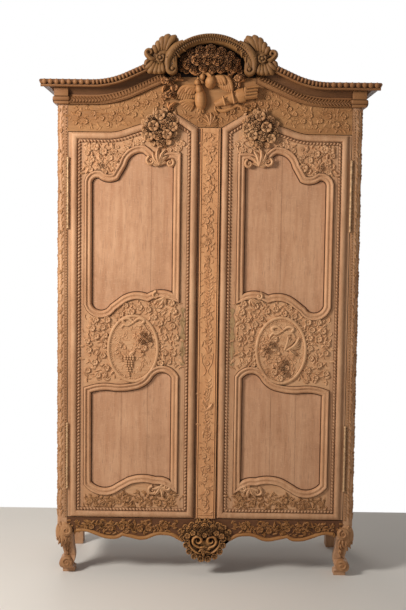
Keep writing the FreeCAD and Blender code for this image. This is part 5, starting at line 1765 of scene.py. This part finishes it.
def paleFloor():
    clearAll()
    bpy.ops.mesh.primitive_plane_add(size=14, location=(0, 0.86 - 7, -0.0004))  # ends where the wall stood
    obj = active("paleFloor")
    kit = ShaderKit("paleFloor")
    place = kit.node("TexCoord", None, None, out=3)
    mottle = kit.noise(place, 3.0, 4.0)
    colour = kit.blend(mottle * 0.08, stageLook["floor"], tone(206, 201, 194))
    obj.data.materials.append(kit.finish(**{"Base Color": colour, "Roughness": 0.75}))


def whiteBehind():  # white where the camera looks or a mirror shows it, a soft light elsewhere
    world = bpy.data.worlds.new("softStudio")
    bpy.context.scene.world = world
    world.use_nodes = True
    tree = world.node_tree
    tree.nodes.clear()

    def node(kind, *sources):
        made = tree.nodes.new("ShaderNode" + kind)
        for socket, source in enumerate(sources):
            tree.links.new(source, made.inputs[socket])
        return made

    def larger(first, second):
        made = node("Math", first, second)
        made.operation = "MAXIMUM"
        return made.outputs[0]

    def glow(colour, strength):
        made = node("Background")
        made.inputs["Color"].default_value = colour
        made.inputs["Strength"].default_value = strength
        return made.outputs[0]

    rays = node("LightPath").outputs
    seen = larger(larger(rays["Is Camera Ray"], rays["Is Glossy Ray"]), rays["Is Transmission Ray"])
    soft = glow((1.0, 0.98, 0.95, 1), stageLook["world"])
    mix = node("MixShader", seen, soft, glow((1, 1, 1, 1), stageLook["backdrop"]))
    node("OutputWorld", mix.outputs[0])


def softLamp(name, place, target, size, power):
    clearAll()
    bpy.ops.object.light_add(type="AREA", location=place)
    lamp = bpy.context.active_object
    lamp.name = name
    lamp.data.shape = "RECTANGLE"
    lamp.data.size = size[0]
    lamp.data.size_y = size[1]
    lamp.data.energy = power
    lamp.data.color = (1.0, 0.965, 0.91)
    lamp.rotation_euler = (Vector(target) - Vector(place)).to_track_quat("-Z", "Y").to_euler()


cameraLook = {
    "distance": 4.5,
    "aside": -0.007,
    "height": 1.607,
    "yaw": -0.18,
    "pitch": 4.54,
    "roll": 0.76,
    "focalPixels": 1000,
    "photoHeight": 610,
    "sensor": 36,
}


def photoCamera():
    look = cameraLook
    yaw, pitch, roll = (math.radians(look[key]) for key in ("yaw", "pitch", "roll"))
    ahead = Vector((math.sin(yaw) * math.cos(pitch), math.cos(yaw) * math.cos(pitch), -math.sin(pitch)))
    level = Vector((math.cos(yaw), -math.sin(yaw), 0))
    upright = level.cross(ahead)
    right = math.cos(roll) * level + math.sin(roll) * upright
    up = -math.sin(roll) * level + math.cos(roll) * upright
    place = Vector((look["aside"], face - look["distance"], look["height"]))
    clearAll()
    bpy.ops.object.camera_add(location=place)
    camera = bpy.context.active_object
    turn = Matrix((right, up, -ahead)).transposed()
    camera.matrix_world = Matrix.Translation(place) @ turn.to_4x4()
    camera.data.sensor_fit = "AUTO"
    camera.data.sensor_width = look["sensor"]
    camera.data.lens = look["sensor"] * look["focalPixels"] / look["photoHeight"]
    bpy.context.scene.camera = camera


paleFloor()
whiteBehind()
for name, settings in stageLook["lamps"].items():
    softLamp(name, *settings)
photoCamera()
bpy.context.scene.view_settings.view_transform = "Standard"
print("stage set")

for shape in kinds.values():
    drop(shape)
